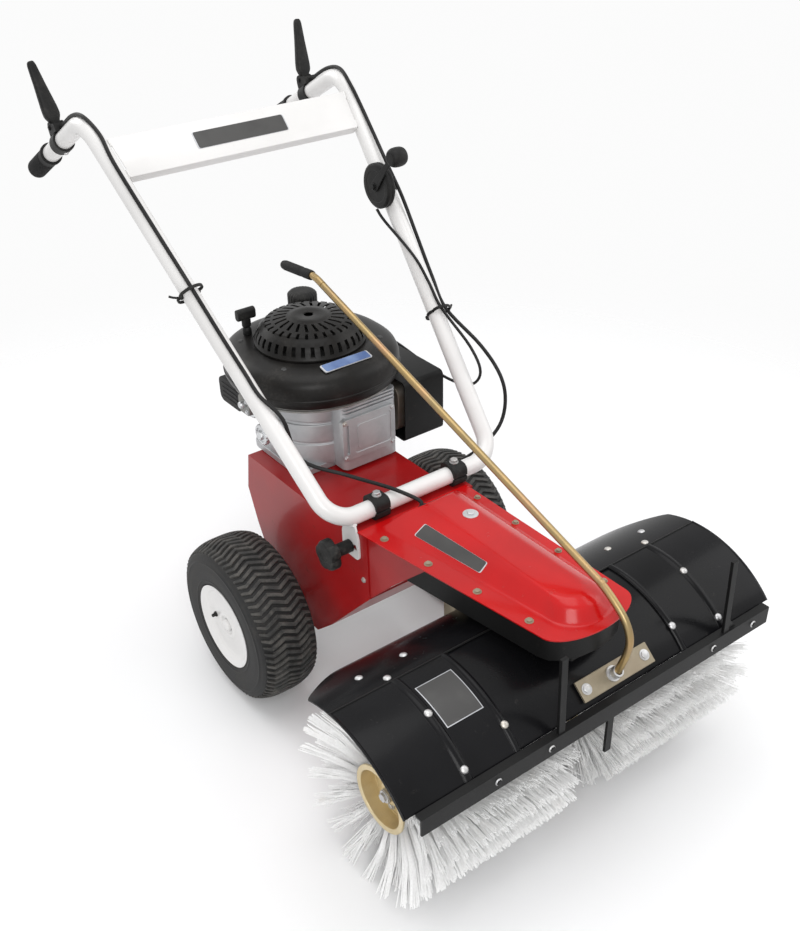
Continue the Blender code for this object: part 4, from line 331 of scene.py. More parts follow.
TYRE, TREAD, BRISTLE = tyre_finish(), tread_finish(), bristle_finish()
LABEL_DARK = label_finish("blank_dark_label", (0.022, 0.021, 0.02), (0.034, 0.033, 0.031))
LABEL_BLUE = label_finish("blank_blue_label", (0.06, 0.12, 0.3), (0.16, 0.25, 0.46))
LABEL_SILVER = label_finish("blank_silver_label", (0.45, 0.46, 0.48), (0.6, 0.61, 0.63))


def bridge(bm, low, high):
    """Faces between two closed rows of corners, where a row may be a single point."""
    count = max(len(low), len(high))
    for i in range(count):
        j = (i + 1) % count
        corners = [low[i % len(low)], low[j % len(low)], high[j % len(high)], high[i % len(high)]]
        bm.faces.new([c for n, c in enumerate(corners) if c not in corners[:n]])


def loft(bm, loops, closed=False):
    """Skin rows of points with equal counts, capped at both ends unless closed."""
    rows = [[bm.verts.new(point) for point in loop] for loop in loops]
    for low, high in zip(rows, rows[1:]):
        bridge(bm, low, high)
    if closed:
        bridge(bm, rows[-1], rows[0])
    else:
        bm.faces.new(rows[0])
        bm.faces.new(rows[-1])
    return bm


def prism(bm, outline, axis, low, high):
    """Extrude an outline in the YZ, XZ or XY plane along X, Y or Z."""
    place = {"X": lambda t, p: (t, p[0], p[1]), "Y": lambda t, p: (p[0], t, p[1]), "Z": lambda t, p: (p[0],
        p[1], t)}[axis]
    return loft(bm, [[place(low, p) for p in outline], [place(high, p) for p in outline]])


def turned(bm, profile, centre, direction, steps=64, shape=None):
    """Turn (distance along the axis, radius) points about an axis. shape(angle) scales the radius."""
    spin = Vector(direction).to_track_quat("Z", "Y").to_matrix()
    rows = []
    for along, radius in profile:
        row = []
        for i in range(steps if radius else 1):
            angle = 2 * pi * i / steps
            r = radius * (shape(angle) if shape else 1)
            row.append(bm.verts.new(Vector(centre) + spin @ Vector((r * cos(angle), r * sin(angle),
                along))))
        rows.append(row)
    for low, high in zip(rows, rows[1:]):
        bridge(bm, low, high)
    if profile[0][1] and profile[-1][1]:
        bridge(bm, rows[-1], rows[0])
    return bm


def capped(*rows):
    """A profile to turn, closed on its axis at both ends."""
    return [(rows[0][0], 0), *rows, (rows[-1][0], 0)]


def softened(points, radius, steps=3, closed=False):
    """A line of points in any number of dimensions with its corners rounded."""
    points = [Vector(p) for p in points]
    count = len(points)
    made = [] if closed else [points[0]]
    for i in range(0 if closed else 1, count if closed else count - 1):
        before, corner, after = points[i - 1], points[i], points[(i + 1) % count]
        back, on = before - corner, after - corner
        a = corner + back * min(0.45, radius / max(back.length, 1e-9))
        b = corner + on * min(0.45, radius / max(on.length, 1e-9))
        for k in range(steps + 1):
            t = k / steps
            made.append(a * (1 - t) ** 2 + corner * (2 * t * (1 - t)) + b * t * t)
    return made if closed else made + [points[-1]]


def lathe(bm, profile, centre, direction, radius=0.001, steps=64):
    """A turned shape with softened corners."""
    rows = [(a, 0 if r < 1e-7 else r) for a, r in softened(profile, radius)]
    return turned(bm, rows, centre, direction, steps)


def sweep(bm, path, radius, sides=16, shape=None):
    """A round bar along a path. shape(share of its length) scales the radius."""
    path = [Vector(p) for p in path]
    heading = (path[1] - path[0]).normalized()
    side = heading.orthogonal().normalized()
    loops = []
    for i, point in enumerate(path):
        before, after = path[max(i - 1, 0)], path[min(i + 1, len(path) - 1)]
        heading = (after - before).normalized()
        side = (side - heading * side.dot(heading)).normalized()
        up = heading.cross(side)
        r = radius * (shape(i / (len(path) - 1)) if shape else 1)
        loops.append([point + r * (cos(2 * pi * k / sides) * side + sin(2 * pi * k / sides) * up)
            for k in range(sides)])
    return loft(bm, loops)


def filleted(corners, radii, steps=14):
    """A path through corners with each inner corner rounded to a true radius."""
    corners = [Vector(c) for c in corners]
    path = [corners[0]]
    for before, corner, after, radius in zip(corners, corners[1:], corners[2:], radii):
        back, on = (before - corner).normalized(), (after - corner).normalized()
        half = acos(max(-1.0, min(1.0, back.dot(on)))) / 2
        middle = corner + (back + on).normalized() * radius / sin(half)
        start = corner + back * radius / tan(half) - middle
        end = corner + on * radius / tan(half) - middle
        whole = start.angle(end)
        for k in range(steps + 1):
            share = k / steps
            path.append(middle + (start * sin((1 - share) * whole) + end * sin(share * whole)) / sin(whole))
    path.append(corners[-1])
    return path


def smooth_route(points, parts=8):
    """A smooth curve through the points of a route."""
    points = [Vector(p) for p in points]
    ends = [2 * points[0] - points[1]] + points + [2 * points[-1] - points[-2]]
    path = []
    for a, b, c, d in zip(ends, ends[1:], ends[2:], ends[3:]):
        for k in range(parts):
            t = k / parts
            path.append(0.5 * ((2 * b) + (c - a) * t + (2 * a - 5 * b + 4 * c - d) * t * t
                + (3 * b - a - 3 * c + d) * t ** 3))
    path.append(points[-1])
    return path


def superellipse(cx, cy, half_x, half_y, z, count=96, power=2.15):
    """A rounded outline at one height."""
    loop = []
    for k in range(count):
        angle = 2 * pi * k / count
        c, s = cos(angle), sin(angle)
        scale = (abs(c) ** power + abs(s) ** power) ** (-1 / power)
        loop.append((cx + half_x * c * scale, cy + half_y * s * scale, z))
    return loop


def block(bm, low, high, radius, axis="Z", steps=6):
    """A box whose four edges along one axis are rounded."""
    a, b = {"X": (1, 2), "Y": (0, 2), "Z": (0, 1)}[axis]
    t = {"X": 0, "Y": 1, "Z": 2}[axis]
    outline = []
    for u, v, start in ((high[a] - radius, high[b] - radius, 0), (low[a] + radius, high[b] - radius, 1),
            (low[a] + radius, low[b] + radius, 2), (high[a] - radius, low[b] + radius, 3)):
        for k in range(steps + 1):
            angle = (start + k / steps) * pi / 2
            outline.append((u + radius * cos(angle), v + radius * sin(angle)))
    return prism(bm, outline, axis, low[t], high[t])


def standing(bm, centre, half, low, high, radius, axis="Z", steps=6):
    """A rounded block about an upright line, by its half lengths along X and Y and its two heights."""
    (x, y), (a, b) = centre, half
    return block(bm, (x - a, y - b, low), (x + a, y + b, high), radius, axis, steps)


def edges(piece, width, segments=2, angle=33):
    """Round the sharp edges of a piece."""
    step = piece.modifiers.new("edges", "BEVEL")
    step.width, step.segments = width, segments
    step.limit_method, step.angle_limit = "ANGLE", radians(angle)
    step.harden_normals = True


def placed(name, bm):
    """An object from points in the axle frame, moved to the axle's own place."""
    bmesh.ops.recalc_face_normals(bm, faces=bm.faces)
    bmesh.ops.translate(bm, verts=bm.verts, vec=(0, AXLE_Y, 0))
    mesh = bpy.data.meshes.new(name)
    bm.to_mesh(mesh)
    bm.free()
    made = bpy.data.objects.new(name, mesh)
    bpy.context.collection.objects.link(made)
    return made


def shaded(mesh, angle=33):
    """Smooth shading up to an angle between faces."""
    mesh.shade_smooth()
    mesh.set_sharp_from_angle(angle=radians(angle))


def piece(name, bm, finish, body, *replaced, bevel=0.0, segments=2, smooth=33):
    """Make one named piece from points in the axle frame, riding on a body."""
    made = placed(name, bm)
    made.data.materials.append(finish.stuff)
    shaded(made.data, smooth)
    if bevel:
        edges(made, bevel, segments)
    if body:
        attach(made, body)
    if replaced:
        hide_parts(*replaced)
    return made


def carve(made, bm):
    """Cut a shape out of a piece for good."""
    tool = placed("cutter", bm)
    step = made.modifiers.new("cut", "BOOLEAN")
    step.operation, step.solver, step.object = "DIFFERENCE", "EXACT", tool
    while made.modifiers[0] != step:
        made.modifiers.move(len(made.modifiers) - 1, 0)
    others = [m for m in made.modifiers if m != step]
    for other in others:
        other.show_viewport = False
    graph = bpy.context.evaluated_depsgraph_get()
    result = bpy.data.meshes.new_from_object(made.evaluated_get(graph))
    made.modifiers.remove(step)
    for other in others:
        other.show_viewport = True
    made.data = result
    shaded(result)
    bpy.data.objects.remove(tool)


def dress(node, finish, bevel=0.0008, segments=2):
    """Give a solid that keeps its shape a finish and softened edges."""
    solid = NODES[node]
    mesh = solid.data
    if "custom_normal" in mesh.attributes:
        mesh.attributes.remove(mesh.attributes["custom_normal"])
    mesh.shade_smooth()
    for slot in solid.material_slots:
        slot.material = finish.stuff
    weld = solid.modifiers.new("weld", "WELD")
    weld.merge_threshold = 0.00002
    if bevel:
        edges(solid, bevel, segments)


def hex_bolt(bm, seat, direction, radius=0.0062, height=0.0036, washer=1.45):
    """A hexagon head with a chamfer, on a washer."""
    axis = Vector(direction).normalized()
    seat = Vector(seat)
    thin = height * 0.28
    lathe(bm, capped((-0.001, radius * washer), (thin, radius * washer)), seat, axis, 0.0003, 32)
    turned(bm, capped((thin - 0.0002, radius), (height * 0.86, radius), (height, radius * 0.84)), seat,
        axis, 6)


def bolts(name, finish, body, *rows):
    """One piece of hexagon bolts, each with its seat, direction, radius, height and washer."""
    bm = bmesh.new()
    for row in rows:
        hex_bolt(bm, *row)
    piece(name, bm, finish, body)


def dome_bolt(bm, seat, direction, radius=0.0068, height=0.0038):
    """A round carriage-bolt head."""
    rows = [(-0.001, 0), (-0.001, radius)] + [(height * sin(a), radius * cos(a)) for a in (0.1, 0.45, 0.8,
        1.15, 1.4)] + [(height, 0)]
    turned(bm, rows, seat, Vector(direction).normalized(), 24)


def crown(x):
    """Radius over the tread at a distance from the tyre's middle plane."""
    return TYRE_RADIUS - CROWN_DROP * (abs(x) / CROWN_HALF) ** 3.0


def wheel(side, word):
    """One wheel: tyre with its zigzag tread, pressed rim and valve."""
    body = f"wheel_{word}"
    centre = Vector((side * WHEEL_X, 0, TYRE_RADIUS))
    wall = [(0.0537, 0.0772), (0.0562, 0.085), (0.0592, 0.0885), (0.0606, 0.09), (0.0612, 0.0945),
        (0.0621, 0.0955), (0.0621, 0.0975), (0.0614, 0.0985), (0.062, 0.108), (0.0625, 0.12),
        (0.0618, 0.131), (0.0624, 0.133), (0.0622, 0.135), (0.0606, 0.137), (0.0592, 0.144), (0.056, 0.15)]
    over = [(x / 1000, crown(x / 1000) - LUG_HEIGHT) for x in range(50, -51, -10)]
    carcass = wall + over + [(-a, r) for a, r in reversed(wall)]
    bm = turned(bmesh.new(), softened(carcass, 0.0015, 2), centre, (side, 0, 0), 96)
    piece(f"tyre_carcass_{word}", bm, TYRE, body, f"tyre_{word}")
    piece(f"tyre_tread_{word}", tread(side, centre), TREAD, body, bevel=0.0007, segments=1)
    rim(side, word, centre, body)


def tread(side, centre):
    """Zigzag bars across the tyre, each a lug that follows the crown."""
    bm = bmesh.new()
    stations = 24
    for k in range(LUGS):
        base = 2 * pi * k / LUGS
        loops = []
        for j in range(stations + 1):
            x = -LUG_HALF + 2 * LUG_HALF * j / stations
            wave = abs((j / 6.0 + 0.5) % 2 - 1) * 2 - 1
            taper = 1.0 - 0.35 * (abs(x) / LUG_HALF) ** 6
            swing = (wave * LUG_SWING) / TYRE_RADIUS
            half = LUG_WIDTH * taper / 2 / TYRE_RADIUS
            top, low = crown(x), crown(x) - LUG_HEIGHT - 0.0015
            loop = []
            for angle, radius in ((base + swing - half, low), (base + swing + half, low),
                    (base + swing + half * 0.86, top), (base + swing - half * 0.86, top)):
                loop.append(centre + Vector((side * x, radius * cos(angle), radius * sin(angle))))
            loops.append(loop)
        loft(bm, loops)
    return bm


def rim(side, word, centre, body):
    """The pressed rim: curled flanges, well, shallow disc and valve stem."""
    face = 0.0485
    profile = [(-0.0585, 0.0866), (-0.0543, 0.0768), (0.0543, 0.0768), (0.0572, 0.0832), (0.0588, 0.0866),
        (0.0606, 0.0868), (0.0604, 0.0842), (0.058, 0.0805), (0.0562, 0.0755), (0.0545, 0.0735),
        (face + 0.003, 0.0715), (face + 0.0005, 0.066), (face, 0.06), (face + 0.001, 0.04), (face + 0.0015,
        0.03), (face + 0.0048, 0.0262), (face + 0.005, 0.0205), (face + 0.001, 0.019), (face + 0.001,
        0.0132), (-0.0515, 0.0132), (-0.0518, 0.0235), (0.044, 0.024), (0.0442, 0.0705), (0.043, 0.0722),
        (-0.0545, 0.0722), (-0.0572, 0.0795), (-0.0596, 0.0856)]
    bm = turned(bmesh.new(), softened(profile, 0.0012, 2, closed=True), centre, (side, 0, 0), 96)
    disc = piece(f"rim_pressing_{word}", bm, WHITE, body, f"rim_{word}")
    edges(disc, 0.0006)
    stem = bmesh.new()
    place = centre + Vector((side * (face + 0.001), 0.0465, -0.003))
    lathe(stem, capped((-0.004, 0.0055), (0.002, 0.0055), (0.004, 0.0036), (0.0095, 0.0032)), place,
        (side, -0.1, 0.02), 0.0006, 24)
    piece(f"tyre_valve_{word}", stem, GRIP_BLACK, body)


def wheel_shaft():
    """The wheel axle and the white cap over each hub."""
    end = WHEEL_X + 0.052
    bm = lathe(bmesh.new(), capped((-end, 0.0125), (end, 0.0125)), (0, 0, TYRE_RADIUS), (1, 0, 0), 0.001,
        40)
    piece("wheel_shaft", bm, STEEL, "axle", "wheel_axle")
    for side, word in SIDES:
        bm = lathe(bmesh.new(), capped((-0.002, 0.0128), (0.003, 0.012), (0.005, 0.009), (0.0056, 0.004)),
            (side * end, 0, TYRE_RADIUS), (side, 0, 0), 0.001, 40)
        piece(f"hub_cap_{word}", bm, WHITE, "axle")


def hood_point(x, angle, radius):
    """A point at an angle up from the front about the brush axis."""
    a = radians(angle)
    return (x, BRUSH_Y - radius * cos(a), BRUSH_Z + radius * sin(a))


def hood_normal(angle):
    """Direction straight off the hood at an angle up from the front."""
    return (0, -cos(radians(angle)), sin(radians(angle)))


def arc(start, end, step=2.0):
    """Even steps from start to end, each about as long as step."""
    count = max(1, int(round((end - start) / step)))
    return [start + (end - start) * k / count for k in range(count + 1)]


def bead_line(start, end, beads):
    """(distance across, height) points of a sheet with rounded beads pressed up."""
    line = [(start, 0.0)]
    for middle, half in beads:
        line += [(middle + half * k / 6, BEAD * cos(pi * k / 12) ** 0.8 if abs(k) < 6 else 0.0)
            for k in range(-6, 7)]
    return line + [(end, 0.0)]


def curved_sheet(name, line, inner, angles, replaced, half_at=None):
    """A sheet bent round the brush, with its thickness."""
    loops = []
    for a in angles:
        shrink = half_at(a) if half_at else 1.0
        outer = [hood_point(x * shrink, a, r) for x, r in line]
        under = [hood_point(x * shrink, a, inner) for x, r in reversed(line)]
        loops.append(outer + under)
    return piece(name, loft(bmesh.new(), loops), GLOSS_BLACK, "head", replaced, bevel=0.0009)


def hood():
    """The hood: middle sheet, two side sheets with beads, and the rear panel."""
    angles = arc(HOOD_FRONT, HOOD_SEAM) + [HOOD_SEAM + HOOD_LAP]
    middle = curved_sheet("hood_middle_sheet", [(-OUTER_SEAM, HOOD_OUT), (-0.09, HOOD_OUT),
        (0.09, HOOD_OUT), (OUTER_SEAM, HOOD_OUT)], HOOD_OUT - HOOD_SHEET, angles, "hood_centre")
    carve(middle, neck_room())
    for side, word in SIDES:
        beads = [(INNER_SEAM + BEAD_WIDTH / 2, BEAD_WIDTH * 0.6), (OUTER_SEAM, BEAD_WIDTH * 0.8)]
        line = [(x, SIDE_OUT + h) for x, h in bead_line(INNER_SEAM - 0.001, HOOD_HALF, beads)]
        line = line[:-1] + [(HOOD_HALF - 0.0045, SIDE_OUT), (HOOD_HALF - 0.002, SIDE_OUT + 0.0018),
            (HOOD_HALF, SIDE_OUT + 0.001)]
        line = [(side * x, r) for x, r in line]
        curved_sheet(f"hood_side_sheet_{word}", line, SIDE_OUT - HOOD_SHEET, arc(HOOD_FRONT, HOOD_SEAM),
            f"hood_{word}")
    rear = curved_sheet("hood_rear_sheet", [(-HOOD_HALF, SIDE_OUT), (-0.2, SIDE_OUT), (0.0, SIDE_OUT),
        (0.2, SIDE_OUT), (HOOD_HALF, SIDE_OUT)], SIDE_OUT - HOOD_SHEET, arc(HOOD_SEAM + 0.15, HOOD_REAR),
        "hood_rear_panel", lambda a: 1 - max(0.0, (a - 112) / 28) * 0.305)
    carve(rear, neck_room())
    hood_hardware()


def neck_room():
    """The hole in the hood round the gear case's neck."""
    reach = NECK_RADIUS + 0.003
    return turned(bmesh.new(), capped((0.36, reach), (0.4, reach)), (0, BRUSH_Y, 0), UP, 48)


def hood_hardware():
    """Bolts of the hood, the rolled seam strip and the rail's bolts."""
    heads = bmesh.new()
    for side in (-1, 1):
        for x, angle, lift in ((OUTER_SEAM, 73, BEAD), (OUTER_SEAM, 47, BEAD), (INNER_SEAM + 0.005, 54,
                BEAD), (0.314, 108, 0), (0.285, 98.5, 0), (0.228, 108, 0)):
            dome_bolt(heads, hood_point(side * x, angle, SIDE_OUT + lift - 0.0006), hood_normal(angle))
    for x in RAIL_BOLTS:
        dome_bolt(heads, (x, RAIL_FRONT, RAIL_TOP - 0.017), (0, -1, 0), 0.0064, 0.0036)
    piece("hood_bolts", heads, BOLT_ZINC, "head")
    seam = bmesh.new()
    for x in (-HOOD_HALF, 0.05):
        path = [hood_point(x + 0.35 * k / 10, HOOD_SEAM + 0.4, SIDE_OUT + 0.0002) for k in range(11)]
        sweep(seam, path, 0.0016, 10)
    piece("hood_seam_strip", seam, SATIN_BLACK, "head")


def nose_edge(y):
    """Distance from the middle plane to the nose flange's right edge at a given Y."""
    share = (-NOSE_REAR - y) / (NOSE_SHOULDER - NOSE_REAR)
    return NOSE_RIGHT_REAR + (NOSE_RIGHT_FRONT - NOSE_RIGHT_REAR) * share


def nose_outline(z, right_in, left_in, front_in, rear_in, taper=0.0, sides=24, front=32):
    """An outline inside the nose flange's, drawn in from each of its edges."""
    rear, shoulder, tip = -NOSE_REAR - rear_in, -NOSE_SHOULDER + front_in, -NOSE_FRONT + front_in
    points = []
    for k in range(sides + 1):
        y = rear + (shoulder - rear) * k / sides
        points.append((-(nose_edge(y) - right_in + taper * k / sides), y, z))
    left = NOSE_LEFT - left_in
    right = points[-1][0]
    for k in range(1, front):
        angle = pi * k / front
        x = (left + right) / 2 - (left - right) / 2 * cos(angle)
        points.append((x, shoulder + (tip - shoulder) * sin(angle), z))
    for k in range(sides + 1):
        points.append((left, shoulder + (rear - shoulder) * k / sides, z))
    return points


def nose():
    """The pressed cover over the belt, with its bolts and cable grommet."""
    top, middle = NOSE_HEIGHT + TUB_HEIGHT, NOSE_HEIGHT + TUB_HEIGHT * TUB_SHOULDER
    low = NOSE_HEIGHT - NOSE_SHEET
    steps = [(low, 0, 0, 0, 0, 0), (NOSE_HEIGHT, 0, 0, 0, 0, 0), (NOSE_HEIGHT, 0.03, 0.015, 0.012, 0.01, 0),
        (NOSE_HEIGHT, SLOPE_FOOT, 0.022, 0.018, 0.014, 0), (middle, SLOPE_TOP, 0.048, 0.034, 0.03,
        SLOPE_TAPER), (top, 0.115, 0.067, 0.054, 0.043, 0.053), (top, 0.125, 0.077, 0.064, 0.053, 0.053)]
    outside = [steps[0]] + softened(steps[1:], 0.014, 4)
    inside = [(top - NOSE_SHEET, 0.115, 0.067, 0.054, 0.043, 0.053), (middle - NOSE_SHEET, 0.089, 0.05,
        0.036, 0.032, 0.033), (low, 0.045, 0.025, 0.021, 0.017, 0)]
    bm = bmesh.new()
    rows = [[bm.verts.new(p) for p in nose_outline(*values)] for values in outside + inside]
    crest = rows[len(outside) - 1]
    for row, following in zip(rows, rows[1:] + rows[:1]):
        if row is crest:
            bm.faces.new(row)
            bm.faces.new(following)
        else:
            bridge(bm, row, following)
    piece("nose_pressing", bm, RED, "chassis", "nose_cover", bevel=0.0007, smooth=40)
    heads = bmesh.new()
    for y in (-0.2886, -0.3905, -0.497, -0.6024):
        hex_bolt(heads, (0.017 - nose_edge(y), y, NOSE_HEIGHT), UP, 0.0054, 0.0042, 1.35)
        hex_bolt(heads, (NOSE_LEFT - 0.012, y, NOSE_HEIGHT), UP, 0.0046, 0.004, 1.35)
    piece("nose_bolts", heads, PALE_ZINC, "chassis")
    bolts("nose_top_bolt", SILVER, "chassis", ((0.01, -0.356, top), UP, 0.0065, 0.0046, 2.1))
    ring = bmesh.new()
    lathe(ring, [(-0.003, 0.0042), (-0.006, 0.006), (-0.003, 0.0105), (0.002, 0.011), (0.004, 0.0075),
        (0.004, 0.0042)], GROMMET, GROMMET_HEADING, 0.0012, 32)
    piece("cable_grommet", ring, GRIP_BLACK, "chassis")


def plate(name, corners, normal, finish, body, thick=0.0009, inset=0.0, radius=0.004):
    """A thin blank plate with round corners, laid on four corners."""
    normal = Vector(normal).normalized()
    corners = [Vector(c) for c in corners]
    middle = sum(corners, Vector()) / 4
    if inset:
        corners = [c + (middle - c).normalized() * inset for c in corners]
    outline = softened(corners, radius, 5, closed=True)
    loops = [[p + normal * n for p in outline] for n in (-0.0012, thick)]
    return piece(name, loft(bmesh.new(), loops), finish, body, bevel=0.0003, segments=1)


def core(side, word):
    """One brush half's core: tube with a plated end ring, inner web and hub."""
    end, inside = BRUSH_HALF, CORE_RADIUS - 0.004
    ring, web = end - 0.006, end - 0.03
    profile = [(CORE_START, CORE_RADIUS), (ring, CORE_RADIUS), (ring, 0.0605), (ring + 0.001, 0.062),
        (end - 0.001, 0.062), (end, 0.0605), (end, 0.0535), (end - 0.0015, inside), (web, inside),
        (web, 0.046), (web + 0.003, 0.042), (web + 0.003, 0.024), (web + 0.01, 0.021), (web + 0.01, 0.013),
        (web - 0.005, 0.013), (web - 0.005, inside), (CORE_START + 0.005, inside), (CORE_START + 0.005,
        0.013), (CORE_START, 0.013)]
    centre = (0, BRUSH_Y, BRUSH_Z)
    piece(f"brush_drum_{word}", turned(bmesh.new(), profile, centre, (side, 0, 0), 64), RING_ZINC, "brush",
        f"brush_core_{word}", bevel=0.0006)
    heads = bmesh.new()
    for k in range(3):
        a = 2 * pi * k / 3 + 0.6
        hex_bolt(heads, (side * (web + 0.003), BRUSH_Y + 0.033 * cos(a), BRUSH_Z + 0.033 * sin(a)),
            (side, 0, 0), 0.0055, 0.005)
    hex_bolt(heads, (side * (BRUSH_HALF - 0.012), BRUSH_Y, BRUSH_Z), (side, 0, 0), 0.0085, 0.007, 1.35)
    piece(f"brush_end_bolts_{word}", heads, BOLT_ZINC, "brush")


def bristles(side, word, draw):
    """One brush half's bristles: rows of bundles of thin strands that spread to their tips."""
    first, last = CORE_START + 0.004, BRUSH_HALF - 0.01
    pitch = (last - first) / TUFT_COLUMNS
    bm = bmesh.new()
    centre = Vector((0, BRUSH_Y, BRUSH_Z))
    for row in range(TUFT_ROWS):
        for column in range(TUFT_COLUMNS):
            shift = 0.25 if row % 2 else -0.25
            x = first + pitch * (column + 0.5 + shift * 0.6)
            lean = 2 * (column + 0.5) / TUFT_COLUMNS - 1
            tip_x = x + (0.056 if lean > 0 else 0.008) * lean ** 3
            angle = -pi / 2 + 2 * pi * row / TUFT_ROWS + draw.uniform(-0.02, 0.02)
            for _ in range(TUFT_STRANDS):
                strand(bm, side, centre, x + draw.uniform(-0.0035, 0.0035), angle + draw.uniform(-0.06,
                    0.06), tip_x + draw.gauss(0, 0.0042), angle + draw.gauss(0, 0.042), draw)
    tube = [(CORE_START + 0.002, 0.0563), (CORE_START + 0.002, 0.0592), (last + 0.002, 0.0592),
        (last + 0.002, 0.0563)]
    turned(bm, tube, centre, (side, 0, 0), 48)
    piece(f"bristle_strands_{word}", bm, BRISTLE, "brush", f"bristles_{word}", smooth=60)


def strand(bm, side, centre, x0, a0, x1, a1, draw):
    """One three-sided bristle with a slight bend."""
    length = BRUSH_RADIUS * draw.uniform(0.955, 0.996)
    x1 = min(x1, BRISTLE_REACH)
    bow = draw.gauss(0, 0.02)
    rows = []
    for share in (0.0, 0.55, 1.0):
        radius = ROOT_RADIUS + (length - ROOT_RADIUS) * share
        angle = a0 + (a1 - a0) * share + bow * sin(pi * share)
        x = x0 + (x1 - x0) * share ** 1.4
        wide = 0.0012 - 0.0003 * share
        row = []
        for k in range(3):
            turn = 2 * pi * k / 3
            row.append(bm.verts.new(centre + Vector((side * (x + wide * cos(turn)),
                radius * cos(angle) - wide * sin(turn) * sin(angle),
                radius * sin(angle) + wide * sin(turn) * cos(angle)))))
        rows.append(row)
    bridge(bm, rows[0], rows[1])
    bridge(bm, rows[1], rows[2])
    bm.faces.new(rows[2])


def blank_plates():
    """The four name plates, left bare."""
    lay_plate("nose_name_plate", tub_corners(), None, "chassis")
    up, front = tube_slope()
    base = Vector((0, *PANEL_PLATE))
    label = [base + Vector((x, 0, 0)) + up * s for x, s in ((-0.095, -0.0165), (0.095, -0.0165),
        (0.095, 0.0165), (-0.095, 0.0165))]
    face = (tube_point(1, PANEL_PLATE[1]) - Vector((0, base.y, base.z))).dot(front)
    shift = front * (face + 0.0103)
    lay_plate("panel_name_plate", [c + Vector((0, shift.y, shift.z)) for c in label], front, "handlebar")
    hood_plate()
    shroud_plate()


def lay_plate(name, corners, normal, body):
    """A dark blank field on a slightly larger bright one."""
    if normal is None:
        normal = (corners[1] - corners[0]).cross(corners[2] - corners[1])
        normal = normal if normal.z > 0 else -normal
    normal = Vector(normal).normalized()
    plate(f"{name}_edge", corners, normal, LABEL_SILVER, body, 0.0006)
    plate(f"{name}_field", corners, normal, LABEL_DARK, body, 0.001, 0.0022)


def tub_corners():
    """Corners of the plate on the right-hand slope of the nose cover's tub."""
    def at(share, rise):
        y = -0.318 - 0.152 * share
        outer = -(nose_edge(y) - SLOPE_FOOT)
        along = (-NOSE_REAR - y) / (NOSE_SHOULDER - NOSE_REAR)
        inner = -(nose_edge(y) - SLOPE_TOP + SLOPE_TAPER * along)
        return Vector((outer + (inner - outer) * rise, y, NOSE_HEIGHT + TUB_HEIGHT * TUB_SHOULDER * rise))
    return [at(0, 0.3), at(0, 0.92), at(1, 0.92), at(1, 0.3)]


def hood_plate():
    """The bare plate on the right-hand hood sheet, bent to its curve."""
    sheets = (("edge", 0.0, 0.0005, LABEL_SILVER), ("field", 0.0016, 0.0009, LABEL_DARK))
    for name, inset, thick, finish in sheets:
        left, right = -0.268 + inset, -0.198 - inset
        loops = [[hood_point(left, a, SIDE_OUT + thick), hood_point(right, a, SIDE_OUT + thick),
            hood_point(right, a, SIDE_OUT - 0.0008), hood_point(left, a, SIDE_OUT - 0.0008)]
            for a in arc(64 + inset * 260, 86 - inset * 260)]
        piece(f"hood_name_plate_{name}", loft(bmesh.new(), loops), finish, "head", bevel=0.0003, segments=1)


def shroud_plate():
    """The bare sticker on the shroud's front slope."""
    corners = [(-0.068, -0.05, 0.651), (0.034, -0.05, 0.651), (0.034, -0.0295, 0.6555), (-0.068, -0.0295,
        0.6555)]
    normal = (0, -0.21, 0.978)
    plate("shroud_sticker_edge", corners, normal, LABEL_SILVER, "chassis", 0.001)
    plate("shroud_sticker_field", corners, normal, LABEL_BLUE, "chassis", 0.0014, 0.003)


def tube_point(side, z):
    """Centre of the handlebar's sloping tube at a height."""
    share = (z - CROSSBAR_Z) / (SHOULDER_Z - CROSSBAR_Z)
    return Vector((side * (CORNER_HALF + (SHOULDER_HALF - CORNER_HALF) * share),
        -CROSSBAR_Y + (SHOULDER_Y + CROSSBAR_Y) * share, z))


def grip_heading():
    """Direction of the handlebar's arms, from the shoulders to the ends of the grips."""
    return Vector((0, GRIP_END_Y - SHOULDER_Y, GRIP_END_Z - SHOULDER_Z)).normalized()


def tube_slope():
    """Unit vectors in the YZ plane, up the sloping tubes and square to them, towards the front."""
    up = Vector((0, SHOULDER_Y + CROSSBAR_Y, SHOULDER_Z - CROSSBAR_Z)).normalized()
    return up, Vector((0, -up.z, up.y))


